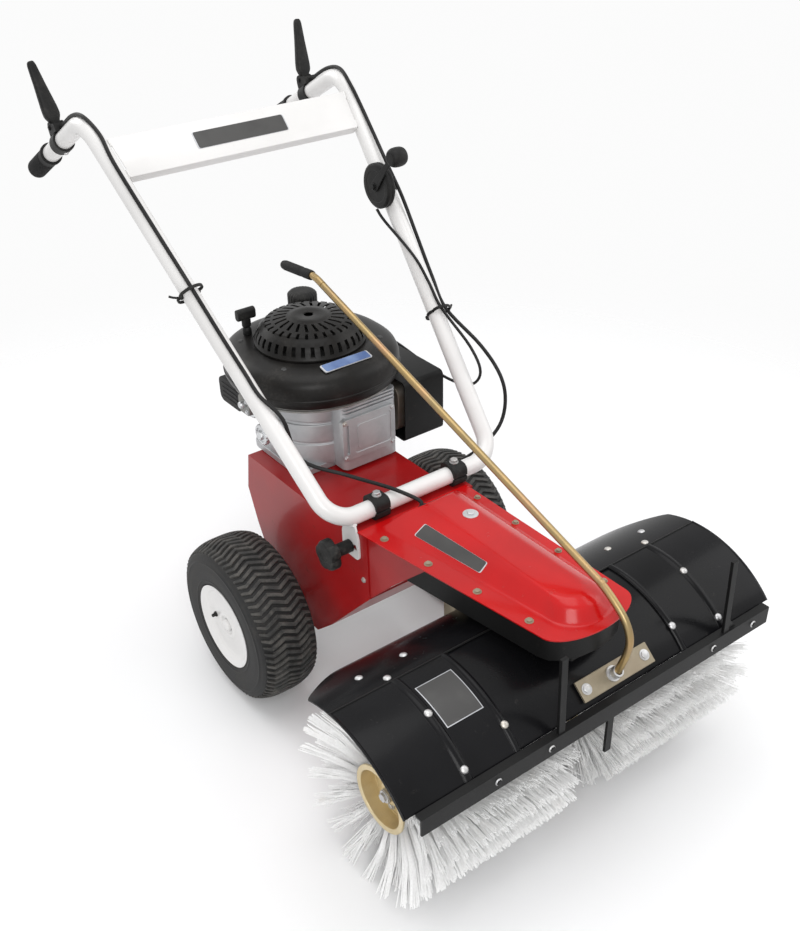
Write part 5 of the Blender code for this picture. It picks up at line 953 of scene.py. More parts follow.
def handlebar():
    """The bent tube with its welded gusset, the folded panel, and each arm's grip, lever and clamp."""
    half = [(SHOULDER_HALF, GRIP_END_Y, GRIP_END_Z), (SHOULDER_HALF, SHOULDER_Y, SHOULDER_Z), (CORNER_HALF,
        -CROSSBAR_Y, CROSSBAR_Z)]
    corners = [(-x, y, z) for x, y, z in half] + list(reversed(half))
    path = filleted(corners, [SHOULDER_FILLET, CORNER_FILLET, CORNER_FILLET, SHOULDER_FILLET])
    piece("bent_tube", sweep(bmesh.new(), path, TUBE_RADIUS, 32), WHITE, "handlebar", "handlebar_tube")
    y, z, w, drop, face = -CROSSBAR_Y, CROSSBAR_Z, 0.025, 0.08, GUSSET_FACE
    outline = [(y - w * 0.55, z - 0.0064), (y - w, z - drop * 0.45), (y - w, z - drop + 0.006),
        (y - w + 0.006, z - drop), (y + w - 0.006, z - drop), (y + w, z - drop + 0.006),
        (y + w, z - drop * 0.45), (y + w * 0.55, z - 0.0064)]
    outline = softened(outline, 0.004, 3, closed=True)
    gusset = piece("tube_gusset", prism(bmesh.new(), outline, "X", face - 0.004, face), WHITE, "handlebar")
    slot = []
    for r, turn in ((SLOT_OUTER, 1), (SLOT_INNER, -1)):
        angles = [SLOT_START + SLOT_SWEEP * k / 16 for k in range(17)][::turn]
        slot += [(y + r * sin(radians(a)), z - r * cos(radians(a))) for a in angles]
    carve(gusset, prism(bmesh.new(), slot, "X", face - 0.02, face + 0.01))
    edges(gusset, 0.0006)
    welds = bmesh.new()
    for x in (face - 0.0046, face + 0.0006):
        path = [(x, y + 0.014 * k / 6, z - 0.0152 + 0.006 * abs(k / 6) ** 2) for k in range(-6, 7)]
        sweep(welds, path, 0.0024, 10, lambda t: 0.9 + 0.12 * sin(t * 60))
    piece("gusset_welds", welds, WHITE, "handlebar")
    folded_panel()
    for side, word in SIDES:
        grip(side, word)
        lever_band(side, word)
        hand_lever(side, word)
        crossbar_clamp(side, word)


def folded_panel():
    """The white panel: a sheet with both long edges folded back, welded to the tubes."""
    front = tube_slope()[1]
    sheet, lip = 0.002, 0.02
    run = tube_point(1, SHOULDER_Z) - tube_point(1, CROSSBAR_Z)
    length = sqrt(run.y ** 2 + run.z ** 2)
    s0, s1 = PANEL_START * length, PANEL_END * length
    profile = [(s0, -lip), (s0 + sheet, -lip), (s0 + sheet, -sheet * 1.6), (s0 + sheet * 1.6, -sheet),
        (s1 - sheet * 1.6, -sheet), (s1 - sheet, -sheet * 1.6), (s1 - sheet, -lip), (s1, -lip),
        (s1, -0.0016), (s1 - 0.0005, -0.0005), (s1 - 0.0016, 0), (s0 + 0.0016, 0), (s0 + 0.0005, -0.0005),
        (s0, -0.0016)]
    loops = []
    for share in (-1, -0.5, 0, 0.5, 1):
        loop = []
        for s, n in profile:
            base = tube_point(1, CROSSBAR_Z + (SHOULDER_Z - CROSSBAR_Z) * s / length)
            loop.append(Vector((share * (base.x - TUBE_RADIUS - 0.0006), base.y, base.z))
                + front * (n + lip / 2))
        loops.append(loop)
    piece("folded_panel", loft(bmesh.new(), loops), WHITE, "handlebar", "handlebar_panel", bevel=0.0005)
    welds = bmesh.new()
    for side in (-1, 1):
        for s in (s0 + 0.008, s1 - 0.008):
            ends = []
            for d in (-0.007, 0.007):
                base = tube_point(side, CROSSBAR_Z + (SHOULDER_Z - CROSSBAR_Z) * (s + d) / length)
                away = Vector((side * (TUBE_RADIUS + 0.0002), 0, 0))
                ends.append(base - away + front * (lip / 2 - 0.0015))
            path = [ends[0].lerp(ends[1], k / 8) for k in range(9)]
            sweep(welds, path, 0.0022, 10, lambda t: 0.85 + 0.2 * abs(sin(t * 12)))
    piece("panel_welds", welds, WHITE, "handlebar")


def grip(side, word):
    """A ribbed rubber grip with a rounded end and a collar."""
    heading = grip_heading()
    end = Vector((side * SHOULDER_HALF, GRIP_END_Y, GRIP_END_Z))
    out, length = 0.0185, GRIP_LENGTH
    profile = [(0.0042, 0), (0.0042, out * 0.55), (0.002, out * 0.85), (-0.004, out)]
    ribs = 13
    for k in range(ribs):
        at = -0.01 - 0.076 * k / ribs
        profile += [(at, out), (at - 0.0008, out - 0.0012), (at - 0.0022, out - 0.0012), (at - 0.003, out)]
    profile += [(0.012 - length, out), (0.009 - length, out + 0.0018), (0.002 - length, out + 0.002),
        (-length, out), (-length, TUBE_RADIUS + 0.0002), (-0.002, TUBE_RADIUS + 0.0002), (-0.002, 0)]
    piece(f"rubber_grip_{word}", turned(bmesh.new(), profile, end, heading, 40), GRIP_BLACK, "handlebar",
        f"grip_{word}", bevel=0.0004, segments=1)


def lever_pivot(side):
    """Foot of the lever's bracket on the tube, its pivot, and the directions along and off the tube."""
    heading = grip_heading()
    reach = (LEVER_Y - SHOULDER_Y) / heading.y
    base = Vector((side * SHOULDER_HALF, SHOULDER_Y, SHOULDER_Z)) + heading * reach
    normal = Vector((0, -heading.z, heading.y))
    return base, base + normal * LEVER_RISE, heading, normal


def lever_band(side, word):
    """The clamp round the tube with its forked ears, pivot pin and pinch screw."""
    base, pivot, heading, normal = lever_pivot(side)
    hole, out, half = TUBE_RADIUS + TUBE_PLAY, TUBE_RADIUS + 0.004, 0.0135

    def at(along, rise):
        return base + heading * along + normal * rise

    bm = turned(bmesh.new(), [(-half, hole), (-half, out - 0.001), (-half + 0.001, out), (half - 0.001,
        out), (half, out - 0.001), (half, hole)], base, heading, 48)
    arch = [pivot + heading * 0.0098 * cos(pi * k / 12) + normal * 0.0095 * sin(pi * k / 12)
        for k in range(13)]
    ear = [at(-0.024, out - 0.0045), at(0.0125, out - 0.0045), at(0.0105, LEVER_RISE), *arch,
        at(-0.014, LEVER_RISE + 0.003), at(-0.024, LEVER_RISE + 0.0005)]
    nose = [at(-0.024, out - 0.0045), at(-0.0125, out - 0.0045), at(-0.0125, LEVER_RISE + 0.002),
        at(-0.024, LEVER_RISE + 0.0005)]
    for outline, x, thick in ((ear, -0.0115, 0.00175), (ear, 0.0115, 0.00175), (nose, 0, 0.01)):
        prism(bm, [(p.y, p.z) for p in outline], "X", base.x + x - thick, base.x + x + thick)
    piece(f"lever_bracket_{word}", bm, GRAIN_BLACK, "handlebar", f"lever_clamp_{word}", bevel=0.0005)
    pin = bmesh.new()
    for turn in (-1, 1):
        hex_bolt(pin, (base.x + turn * 0.0131, pivot.y, pivot.z), (turn, 0, 0), 0.004, 0.0028, 1.3)
    lathe(pin, capped((-0.013, 0.0024), (0.013, 0.0024)), (base.x, pivot.y, pivot.z), (1, 0, 0), 0.0003, 16)
    piece(f"lever_pin_{word}", pin, SATIN_BLACK, "handlebar")
    screw = bmesh.new()
    lathe(screw, capped((-0.001, 0.0042), (0.0022, 0.0042), (0.0034, 0.0032), (0.0034, 0.0018),
        (0.002, 0.0016)), base - normal * (out - 0.0006), -normal, 0.0004, 24)
    piece(f"lever_pinch_screw_{word}", screw, BOLT_ZINC, "handlebar")


def hand_lever(side, word):
    """A hand lever: a rounded bar that widens past its pivot and narrows to its tip."""
    pivot = lever_pivot(side)[1]
    run = Vector((side * LEVER_TIP[0], *LEVER_TIP[1:])) - pivot
    way = run.normalized()
    thick = Vector((0, -way.z, way.y)).normalized()
    wide = way.cross(thick).normalized()
    rows = [(-0.07, 0.006, 0.006), (-0.03, 0.0088, 0.0085), (0.08, 0.009, 0.0092), (0.13, 0.0128, 0.0095),
        (0.18, 0.015, 0.0092), (0.28, 0.0148, 0.0088), (0.45, 0.0128, 0.008), (0.65, 0.0104, 0.0071),
        (0.83, 0.0088, 0.0064), (0.94, 0.0076, 0.006), (0.985, 0.006, 0.005), (1.0, 0.0036, 0.003)]
    loops = []
    for share, w, t in softened(rows, 0.02, 2):
        loops.append([pivot + run * share + wide * w * squarish(cos(a)) + thick * t * squarish(sin(a))
            for a in (2 * pi * k / 24 for k in range(24))])
    piece(f"lever_blade_{word}", loft(bmesh.new(), loops), GRAIN_BLACK, f"lever_{word}",
        f"hand_lever_{word}", smooth=50)


def squarish(value, power=0.62):
    """A value brought towards the edge of its range, for rounded rectangles."""
    return (1 if value > 0 else -1) * abs(value) ** power


def crossbar_clamp(side, word):
    """A split clamp round the crossbar with a nut on top."""
    x, y, hole = side * CLAMP_X, -CROSSBAR_Y, TUBE_RADIUS + TUBE_PLAY
    low, top = CLAMP_LOW, CROSSBAR_Z + TUBE_RADIUS + 0.006
    bm = standing(bmesh.new(), (x, y), (0.015, 0.021), low, top, 0.013, "X", 10)
    clamp = piece(f"clamp_block_{word}", bm, GRAIN_BLACK, "chassis", f"crossbar_clamp_{word}")
    carve(clamp, turned(bmesh.new(), capped((-0.03, hole), (0.03, hole)), (x, y, CROSSBAR_Z), (1, 0, 0),
        40))
    carve(clamp, standing(bmesh.new(), (x, y), (0.03, 0.03), CROSSBAR_Z - 0.0012, CROSSBAR_Z + 0.0012,
        0.0005, "X"))
    edges(clamp, 0.0008)
    bolts(f"clamp_nut_{word}", BOLT_ZINC, "chassis", ((x, y, top), UP, 0.0072, 0.0078, 1.15))


def star_knob():
    """The five-lobed knob with its boss, and the stud through the gusset and side plate."""
    y, z = -CROSSBAR_Y, CROSSBAR_Z - KNOB_DROP
    inner, radius = KNOB_FACE, 0.029
    outer = inner - 0.036
    loops = []
    for along, scale in ((0.0, 0.96), (0.0025, 1.0), (0.0145, 1.0), (0.0185, 0.93), (0.02, 0.8)):
        loop = []
        for k in range(80):
            angle = 2 * pi * k / 80
            r = radius * scale * (0.86 + 0.14 * abs(cos(2.5 * angle)) ** 0.8)
            loop.append((outer - along, y + r * cos(angle), z + r * sin(angle)))
        loops.append(loop)
    knob = piece("lobed_knob", loft(bmesh.new(), loops), GRAIN_BLACK, "star_knob", "star_knob",
        bevel=0.0008, smooth=40)
    carve(knob, turned(bmesh.new(), capped((0.0185, 0.0105), (0.03, 0.0105)), (outer, y, z), (-1, 0, 0),
        32))
    boss = lathe(bmesh.new(), capped((-0.0002, 0.012), (0.029, 0.012), (0.0365, 0.0155)), (inner, y, z),
        (-1, 0, 0), 0.001, 32)
    piece("knob_boss", boss, GRAIN_BLACK, "star_knob")
    stud = lathe(bmesh.new(), capped((-0.013, 0.0045), (-0.012, 0.005), (0.002, 0.005)), (inner, y, z),
        (-1, 0, 0), 0.0003, 24)
    piece("knob_stud", stud, BOLT_ZINC, "star_knob")


def throttle():
    """The throttle control: a flat round case on a band, and its lever with a round knob."""
    share = (THROTTLE_Y + CROSSBAR_Y) / (SHOULDER_Y + CROSSBAR_Y)
    base = tube_point(1, CROSSBAR_Z + (SHOULDER_Z - CROSSBAR_Z) * share)
    front = tube_slope()[1]
    outer = base.x - TUBE_RADIUS - 0.003
    centre = Vector((outer, base.y, base.z)) + front * 0.022
    case = capped((0, 0.039), (0.003, 0.042), (0.0075, 0.042), (0.0082, 0.0412), (0.009, 0.0412),
        (0.0097, 0.042), (0.015, 0.042), (0.018, 0.038), (0.018, 0.03), (0.0172, 0.029))
    bm = lathe(bmesh.new(), case, centre, (-1, 0, 0), 0.0006, 64)
    axis = (tube_point(1, 1.0) - tube_point(1, 0.5)).normalized()
    hole = TUBE_RADIUS + TUBE_PLAY
    turned(bm, [(-0.008, hole), (-0.008, hole + 0.002), (-0.007, hole + 0.0025), (0.007, hole + 0.0025),
        (0.008, hole + 0.002), (0.008, hole)], base, axis, 48)
    piece("throttle_case", bm, GRAIN_BLACK, "handlebar", "throttle_body", bevel=0.0004)
    inner = outer - 0.018 - 0.0003
    way = Vector((0, -0.0564, 0.0656)).normalized()
    across = Vector((0, way.z, -way.y))
    turn = [pi / 2 + pi * k / 12 for k in range(13)]
    outline = [centre + way * (0.01 * cos(a)) + across * (0.01 * sin(a)) for a in turn]
    outline += [centre + way * s + across * w for s, w in ((0.06, -0.0058), (THROTTLE_REACH, -0.0058),
        (THROTTLE_REACH, 0.0058), (0.06, 0.0058))]
    arm = prism(bmesh.new(), [(p.y, p.z) for p in outline], "X", inner - 0.0035, inner)
    piece("throttle_arm", arm, GRAIN_BLACK, "throttle", bevel=0.001)
    ball = centre + way * THROTTLE_REACH
    knob = capped((-0.005, 0.0115), (-0.002, 0.015), (0.003, 0.0172), (0.012, 0.018), (0.021, 0.0172),
        (0.026, 0.015), (0.029, 0.011))
    bm = lathe(bmesh.new(), knob, (inner - 0.001, ball.y, ball.z), (1, 0, 0), 0.003, 48)
    piece("throttle_knob", bm, GRAIN_BLACK, "throttle", "throttle_lever", smooth=60)
    bolts("throttle_screw", SATIN_BLACK, "throttle", ((inner - 0.0035, centre.y, centre.z), (-1, 0, 0),
        0.0052, 0.004, 1.4))


def tube_side(side, z, outward, forward, extra=0.0):
    """A cable's centre beside the sloping tube."""
    front = tube_slope()[1]
    reach = TUBE_RADIUS + CABLE_RADIUS + CABLE_CLEAR + extra
    way = Vector((side * outward, 0, 0)) + front * forward
    return tube_point(side, z) + way.normalized() * reach


def adjuster_place(side):
    """Middle of the barrel adjuster where a lever's cable begins, and its heading."""
    base, _, heading, normal = lever_pivot(side)
    return base - heading * ADJUSTER_BACK + normal * (TUBE_RADIUS + CABLE_RADIUS + CABLE_CLEAR), heading


def cable_start(side):
    """A lever's cable from its band over the tube's bend, on the tube's upper side."""
    start, heading = adjuster_place(side)
    return [start, start - heading * 0.008, (side * 0.266, 0.4054, 1.0314), (side * 0.2655, 0.3562, 1.0398),
        (side * 0.2592, 0.3114, 1.0175)]


def cables():
    """The three control cables, each along its real route, with the adjusters and ties."""
    right = cable_start(-1) + [tube_side(-1, 0.965, 0.15, 1), tube_side(-1, 0.88, 0.15, 1), tube_side(-1,
        TIE_HEIGHT_RIGHT, 0.1, 1), tube_side(-1, 0.72, 0.1, 1), tube_side(-1, 0.672, 0.05, 1), tube_side(-1,
        0.64, 0.0, 1.0), tube_side(-1, 0.604, -0.75, 0.65) + Vector((0.002, 0, 0.001)), (-0.16, -0.096,
        0.53), (-0.098, -0.15, 0.499), (-0.056, -0.2176, 0.49), GROMMET - GROMMET_HEADING * 0.016,
        GROMMET - GROMMET_HEADING * 0.004, GROMMET + GROMMET_HEADING * 0.006, (-0.052, -0.2985, 0.4425),
        (-0.0725, -0.302, 0.43)]
    cable("brush_clutch_cable", right, CABLE_RADIUS, "brush_cable")
    band = 2 * THROTTLE_BAND
    left = cable_start(1) + [tube_side(1, 0.965, 0.15, 1), tube_side(1, 0.88, 0.25, 1, band),
        tube_side(1, 0.832, 0.5, 1, band), tube_side(1, 0.78, 1, 0.4, 0.001), tube_side(1, 0.72, 1, 0.15,
        0.001), tube_side(1, TIE_HEIGHT_LEFT, 1, 0.25, 0.002), (0.246, -0.1, 0.628), (0.252, -0.15, 0.585),
        (0.25, -0.17, 0.54), (0.232, -0.176, 0.494), (0.19, -0.172, 0.46), (0.14, -0.165, 0.44),
        (0.108, -0.16, 0.413), (0.0903, -0.16, 0.41)]
    cable("wheel_drive_cable", left, CABLE_RADIUS, "drive_cable")
    disc = Vector((0.2052, 0.1635, 0.827))
    third = [disc, disc + Vector((0.005, -0.018, -0.02)), tube_side(1, 0.75, -0.55, 0.85, 0.008),
        tube_side(1, 0.71, -0.25, 1.0, 0.005), tube_side(1, TIE_HEIGHT_LEFT, 0.1, 1.0), (0.222, -0.098,
        0.632), (0.223, -0.128, 0.59), (0.218, -0.105, 0.556), (0.215, -0.04, 0.545), (0.214, 0.04, 0.552),
        (0.2, 0.115, 0.572), (0.165, 0.11, 0.58175), (0.1402, 0.085, 0.58175)]
    cable("throttle_wire", third, CABLE_RADIUS * 0.8, "throttle_cable")
    cable_fittings()


def cable(name, points, radius, node):
    """One sheathed cable, swept along its route between the chassis and the handlebar."""
    path = smooth_route(points, 6)
    bm = sweep(bmesh.new(), path, radius, 16)
    made = piece(name, bm, SHEATH_BLACK, None, node, smooth=60)
    lift = Vector((0, AXLE_Y, 0))
    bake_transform(made)
    route = [list(p + lift) for p in path]
    length = sum((b - a).length for a, b in zip(path, path[1:]))


def cable_fittings():
    """Barrel adjusters on the levers' brackets, and the two ties with their tails."""
    for side, word in SIDES:
        start, heading = adjuster_place(side)
        bm = lathe(bmesh.new(), [(-0.016, 0.0037), (-0.016, 0.0046), (-0.009, 0.0048), (-0.009, 0.006),
            (-0.004, 0.006), (-0.004, 0.0048), (0.006, 0.0048), (0.006, 0.0037)], start, heading, 0.0004,
            24)
        piece(f"cable_adjuster_{word}", bm, GRAIN_BLACK, "handlebar")
    tie(-1, TIE_HEIGHT_RIGHT, "right", (0.0, 1.0))
    tie(1, TIE_HEIGHT_LEFT, "left", (0.9, 0.9))


def tie(side, z, word, extra):
    """A tie strap round the tube and the cables beside it, with its head and tail."""
    front = tube_slope()[1]
    centre = tube_point(side, z)
    axis = (tube_point(side, 1.0) - tube_point(side, 0.5)).normalized()
    outward = Vector((side, 0, 0))
    outward = (outward - axis * outward.dot(axis)).normalized()
    across = axis.cross(outward)
    reach = 2 * CABLE_RADIUS + 5 * CABLE_CLEAR
    ring = []
    for k in range(48):
        angle = 2 * pi * k / 48
        c, s = cos(angle), sin(angle)
        reached = reach * max(0.0, c * extra[0] + abs(s) * extra[1]) ** 0.5
        ring.append((TUBE_RADIUS + TUBE_PLAY + reached, c, s))
    loops = []
    strap = ((0, -0.0028), (0.0012, -0.0028), (0.0018, -0.002), (0.0018, 0.002), (0.0012, 0.0028),
        (0, 0.0028))
    for grow, shift in strap:
        loops.append([centre + axis * shift + outward * (r + grow) * c + across * (r + grow) * s for r, c,
            s in ring])
    bm = loft(bmesh.new(), loops, closed=True)
    far = ring[0][0] + 0.0018
    tail = [centre + outward * (far - 0.003 + 0.0048 * k) - front * 0.0016 * k + axis * 0.0007 * k * k
        for k in range(5)]
    sweep(bm, tail, 0.0021, 8)
    head = centre + outward * (far - 0.0015)
    lathe(bm, capped((-0.002, 0.0048), (0.0035, 0.0048)), head, outward, 0.0008, 16)
    piece(f"tie_strap_{word}", bm, GRAIN_BLACK, "handlebar", f"cable_tie_{word}")


def engine():
    """Crankcase, barrel with its cover, fan shroud, starter housing and fittings."""
    x, y, low, r = ENGINE_X, ENGINE_Y, ENGINE_LOW, CRANKCASE_RADIUS
    flange = standing(bmesh.new(), (x, y), (0.1, 0.09), low, low + 0.013, 0.03)
    piece("engine_base_flange", flange, CAST, "chassis", "engine_crankcase", bevel=0.0015)
    case = capped((low + 0.011, 0.0975), (0.446, r), (0.478, r), (0.4795, 0.0955), (0.4835, 0.0955),
        (0.485, r), (0.52, r), (0.5215, 0.095), (0.5265, 0.095), (0.528, r), (0.556, r), (0.566, 0.0935),
        (0.577, 0.091))
    piece("crankcase_round", lathe(bmesh.new(), case, (x, y, 0), UP, 0.0012, 80), CAST, "chassis")
    barrel = block(bmesh.new(), (-BARREL_RIGHT, -BARREL_FRONT, low + 0.006), (BARREL_LEFT, y, BARREL_TOP),
        0.012)
    body = piece("engine_barrel", barrel, CAST, "chassis")
    for k in range(3):
        z = 0.5495 + k * 0.0072
        carve(body, block(bmesh.new(), (-0.06, -0.0475, z), (BARREL_LEFT + 0.01, -0.04, z + 0.003), 0.001,
            "X"))
    edges(body, 0.0012)
    cover_low, cover_high = (-0.041, -0.052, 0.457), (0.078, -0.041, 0.543)
    cover = piece("barrel_cover", block(bmesh.new(), cover_low, cover_high, 0.01, "Y", 8), CAST, "chassis")
    carve(cover, block(bmesh.new(), (-0.0335, -0.06, 0.47), (-0.0275, -0.048, 0.531), 0.002, "Y"))
    carve(cover, block(bmesh.new(), (-0.015, -0.06, 0.468), (0.068, -0.0508, 0.532), 0.007, "Y"))
    edges(cover, 0.0012, 3)
    ribs = bmesh.new()
    block(ribs, (-0.008, -0.0518, 0.474), (0.061, -0.049, 0.526), 0.006, "Y")
    piece("cover_raised_field", ribs, CAST, "chassis", bevel=0.0008)
    heads = bmesh.new()
    for px, pz in ((-0.0355, 0.463), (-0.0355, 0.537), (0.072, 0.463), (0.072, 0.537)):
        hex_bolt(heads, (px, -0.0512, pz), (0, -1, 0), 0.004, 0.0034, 1.3)
    for px, py in ((-0.094, 0.008), (0.072, 0.163), (-0.094, 0.163), (0.072, 0.008)):
        hex_bolt(heads, (px, py, low + 0.0125), UP, 0.0062, 0.006, 1.5)
    piece("engine_bolts", heads, BOLT_ZINC, "chassis")
    top = [superellipse(x, y, 0.15 * s, 0.15 * s, z) for z, s in ((0.576, 0.985), (0.5775, 1.0),
        (0.5805, 1.0), (0.5815, 0.985), (0.5835, 0.985), (0.5845, 1.0), (0.5868, 1.0), (0.5875, 0.99))]
    piece("shroud_seat", loft(bmesh.new(), top), DULL_CAST, "chassis")
    neck = x - sqrt(r ** 2 - OIL_FILLER_SHIFT ** 2)
    bm = lathe(bmesh.new(), capped((-0.012, 0.0155), (0.006, 0.015), (0.012, 0.014)),
        (neck, y + OIL_FILLER_SHIFT, OIL_FILLER_Z), (-1, 0, 0), 0.001, 40)
    piece("oil_neck", bm, CAST, "chassis")
    shroud()
    fittings()


def shroud():
    """The moulded fan shroud with its step, filler neck, screws and slotted starter dome."""
    x, y = ENGINE_X, ENGINE_Y
    rows = [(0.0, 0.958), (0.001, 0.968), (0.01, 0.992), (0.0165, 1.0), (0.0185, 1.0), (0.0195, 0.992),
        (0.021, 0.9925), (0.04, 0.984), (0.05, 0.955), (0.057, 0.9), (0.061, 0.83), (0.0635, 0.74),
        (0.064, 0.7)]
    loops = [superellipse(x, y, SHROUD_HALF * s, SHROUD_LENGTH * s, SHROUD_LOW + h) for h, s in rows]
    cover = piece("moulded_shroud", loft(bmesh.new(), loops), SHROUD_BLACK, "chassis", "fan_shroud",
        smooth=40)
    cut = turned(bmesh.new(), capped((0, STARTER_RADIUS + 0.004), (0.01, STARTER_RADIUS + 0.004)),
        (x, y, SHROUD_LOW + 0.0625), UP, 80)
    carve(cover, cut)
    edges(cover, 0.0009)
    neck = lathe(bmesh.new(), capped((-0.02, 0.03), (0.0, 0.027), (0.004, 0.0235), (0.012, 0.023)),
        (*FUEL_FILLER, 0.6518), UP, 0.0015, 48)
    piece("filler_neck", neck, SHROUD_BLACK, "chassis")
    screws = bmesh.new()
    for angle in (35, 145, 215, 325):
        a = radians(angle)
        place = (x + 0.128 * cos(a), y + 0.131 * sin(a), SHROUD_LOW + 0.0605)
        lathe(screws, capped((-0.003, 0.0052), (0.0022, 0.0052), (0.0034, 0.0042)), place, (0.1 * cos(a),
            0.1 * sin(a), 1), 0.0005, 24)
    piece("shroud_screws", screws, STEEL_DARK, "chassis")
    starter_dome(x, y)


def spokes(bm, count, axis, reach, half, swirl, heights, shift=0.0):
    """Blocks round an upright axis, each with its inner and outer reach and half width, and swept aside."""
    for k in range(count):
        angle = 2 * pi * (k + shift) / count
        way, side = Vector((cos(angle), sin(angle), 0)), Vector((-sin(angle), cos(angle), 0))
        corners = [way * reach[0] - side * half[0], way * reach[1] - side * half[1] + side * swirl,
            way * reach[1] + side * half[1] + side * swirl, way * reach[0] + side * half[0]]
        loft(bm, [[Vector((*axis, t)) + c for c in corners] for t in heights])
    return bm


def starter_dome(x, y):
    """The starter housing: a stepped dome with rings of slots down to the dark fan behind them."""
    base, r, h, wall = DOME_BASE, STARTER_RADIUS, STARTER_HEIGHT, 0.0022
    outline = [(0.0, 1.0), (0.06, 1.0), (0.1, 0.985), (0.35, 0.96), (0.52, 0.915), (0.68, 0.84),
        (0.74, 0.8), (0.8, 0.78), (0.86, 0.66), (0.91, 0.56), (0.95, 0.42), (0.965, 0.36), (0.99, 0.33),
        (1.0, 0.28), (1.0, 0.2), (0.985, 0.17), (0.985, 0.0)]
    rows = [(h * a, r * b) for a, b in outline]
    under = [(h * a - wall if b < 0.9 else h * a, max(r * b - wall, 0.0)) for a, b in reversed(outline)]
    under = [(max(a, 0.0), b) for a, b in under if b <= r * 0.97]
    bm = turned(bmesh.new(), rows + under[1:], (x, y, base), UP, 96)
    dome = piece("starter_dome", bm, SHROUD_BLACK, "chassis", "starter_housing", smooth=38)
    slots = ((22, (0.042, 0.066), (0.0025, 0.003), 0.006, (0.012, 0.06), 0.0), (30, (0.071, 0.083),
        (0.0025, 0.003), 0.0, (0.012, 0.06), 0.5), (36, (0.088, 0.115), (0.0032, 0.0042), 0.0,
        (0.0095, 0.0255), 0.0))
    for count, reach, half, swirl, (low, high), shift in slots:
        tool = spokes(bmesh.new(), count, (x, y), reach, half, swirl, (base + low, base + high), shift)
        carve(dome, tool)
    edges(dome, 0.0004, 1)
    fan = bmesh.new()
    lathe(fan, capped((0.0005, 0.09), (0.006, 0.09), (0.006, 0.03), (0.028, 0.026)), (x, y, base), UP,
        0.001, 48)
    spokes(fan, 20, (x, y), (0.04, 0.088), (0.001, 0.001), 0.008, (base + 0.005, base + 0.02))
    piece("fan_wheel", fan, GRAIN_BLACK, "chassis")


def fittings():
    """Fuel cap, starter handle, air cleaner, carburettor and oil filler cap."""
    seat = SHROUD_LOW + 0.0763
    ribs = lambda a: 1 - 0.045 * (0.5 + 0.5 * cos(24 * a)) ** 2
    cap = capped((0, 0.0268), (0.0015, 0.029), (0.018, 0.029), (0.021, 0.0285), (0.0255, 0.0235),
        (0.0268, 0.018), (0.027, 0.01))
    bm = turned(bmesh.new(), cap, (*FUEL_FILLER, seat), UP, 144, ribs)
    piece("ribbed_fuel_cap", bm, GRAIN_BLACK, "fuel_cap", "fuel_cap", smooth=50)
    rope, base = (-0.094, 0.174), DOME_BASE
    handle = standing(bmesh.new(), rope, (0.019, 0.007), base + 0.03, base + 0.052, 0.0065, "X", 8)
    standing(handle, rope, (0.0085, 0.0062), base + 0.016, base + 0.036, 0.005)
    piece("starter_grip", handle, GRAIN_BLACK, "starter_handle", "starter_handle", bevel=0.002, segments=3)
    collar = lathe(bmesh.new(), capped((0, 0.0085), (0.01, 0.0085), (0.0155, 0.0062)), (*rope, base), UP,
        0.0015, 32)
    piece("rope_guide", collar, GRAIN_BLACK, "starter_handle")
    fluted = lambda a: 1 - 0.05 * (0.5 + 0.5 * cos(16 * a)) ** 3
    reach = ENGINE_X - sqrt(CRANKCASE_RADIUS ** 2 - OIL_FILLER_SHIFT ** 2) - 0.0123
    place = (reach, ENGINE_Y + OIL_FILLER_SHIFT, OIL_FILLER_Z)
    rows = capped((0, 0.0195), (0.0012, 0.021), (0.0085, 0.021), (0.0102, 0.0195), (0.0106, 0.015),
        (0.0085, 0.0142), (0.0085, 0.01), (0.0115, 0.009), (0.014, 0.0075))
    piece("fluted_oil_cap", turned(bmesh.new(), rows, place, (-1, 0, 0), 128, fluted), SILVER, "oil_cap",
        "oil_cap", smooth=45)
    cleaner()


def cleaner():
    """The carburettor with its fittings, and the air cleaner with its ribbed lid."""
    side, top, rear = ENGINE_X - 0.0983, 0.5757, ENGINE_Y + 0.038
    carb = block(bmesh.new(), (side - 0.045, ENGINE_Y, top - 0.042), (side, rear, top - 0.006), 0.008, "X")
    piece("carburettor_body", carb, DULL_CAST, "chassis", "carburettor", bevel=0.001)
    bits = bmesh.new()
    lathe(bits, capped((0, 0.0125), (0.01, 0.0125), (0.013, 0.0095)), (side - 0.022, ENGINE_Y + 0.018,
        top - 0.041), (0, 0, -1), 0.0012, 32)
    lathe(bits, capped((0, 0.0075), (0.006, 0.007), (0.0095, 0.0055)), (side - 0.0445, ENGINE_Y + 0.02,
        top - 0.022), (-1, 0, 0), 0.0008, 24)
    for z in (top - 0.034, top - 0.013):
        hex_bolt(bits, (side - 0.045, ENGINE_Y + 0.008, z), (-1, 0, 0), 0.0036, 0.003, 1.3)
    piece("carburettor_fittings", bits, SILVER, "chassis")
    low, high = (-0.152, rear + 0.0003, top - 0.052), (-0.102, rear + 0.0803, top)
    body = block(bmesh.new(), (low[0] + 0.016, low[1] + 0.0006, low[2] + 0.0006),
        (high[0], high[1] - 0.0006, high[2] - 0.0006), 0.014, "X")
    block(body, (low[0] + 0.0012, low[1], low[2]), (low[0] + 0.015, high[1], high[2]), 0.014, "X")
    for k in range(4):
        z = low[2] + 0.01 + 0.0095 * k
        block(body, (low[0], low[1] + 0.012, z), (low[0] + 0.003, high[1] - 0.012, z + 0.0035), 0.001, "X")
    piece("air_cleaner_box", body, GRAIN_BLACK, "chassis", "air_cleaner", bevel=0.0012)


def exhaust():
    """The muffler and its guard keep their solids' shape."""
    dress("muffler", HOT_STEEL, 0.002, 3)
    dress("muffler_guard", SATIN_BLACK, 0.001)


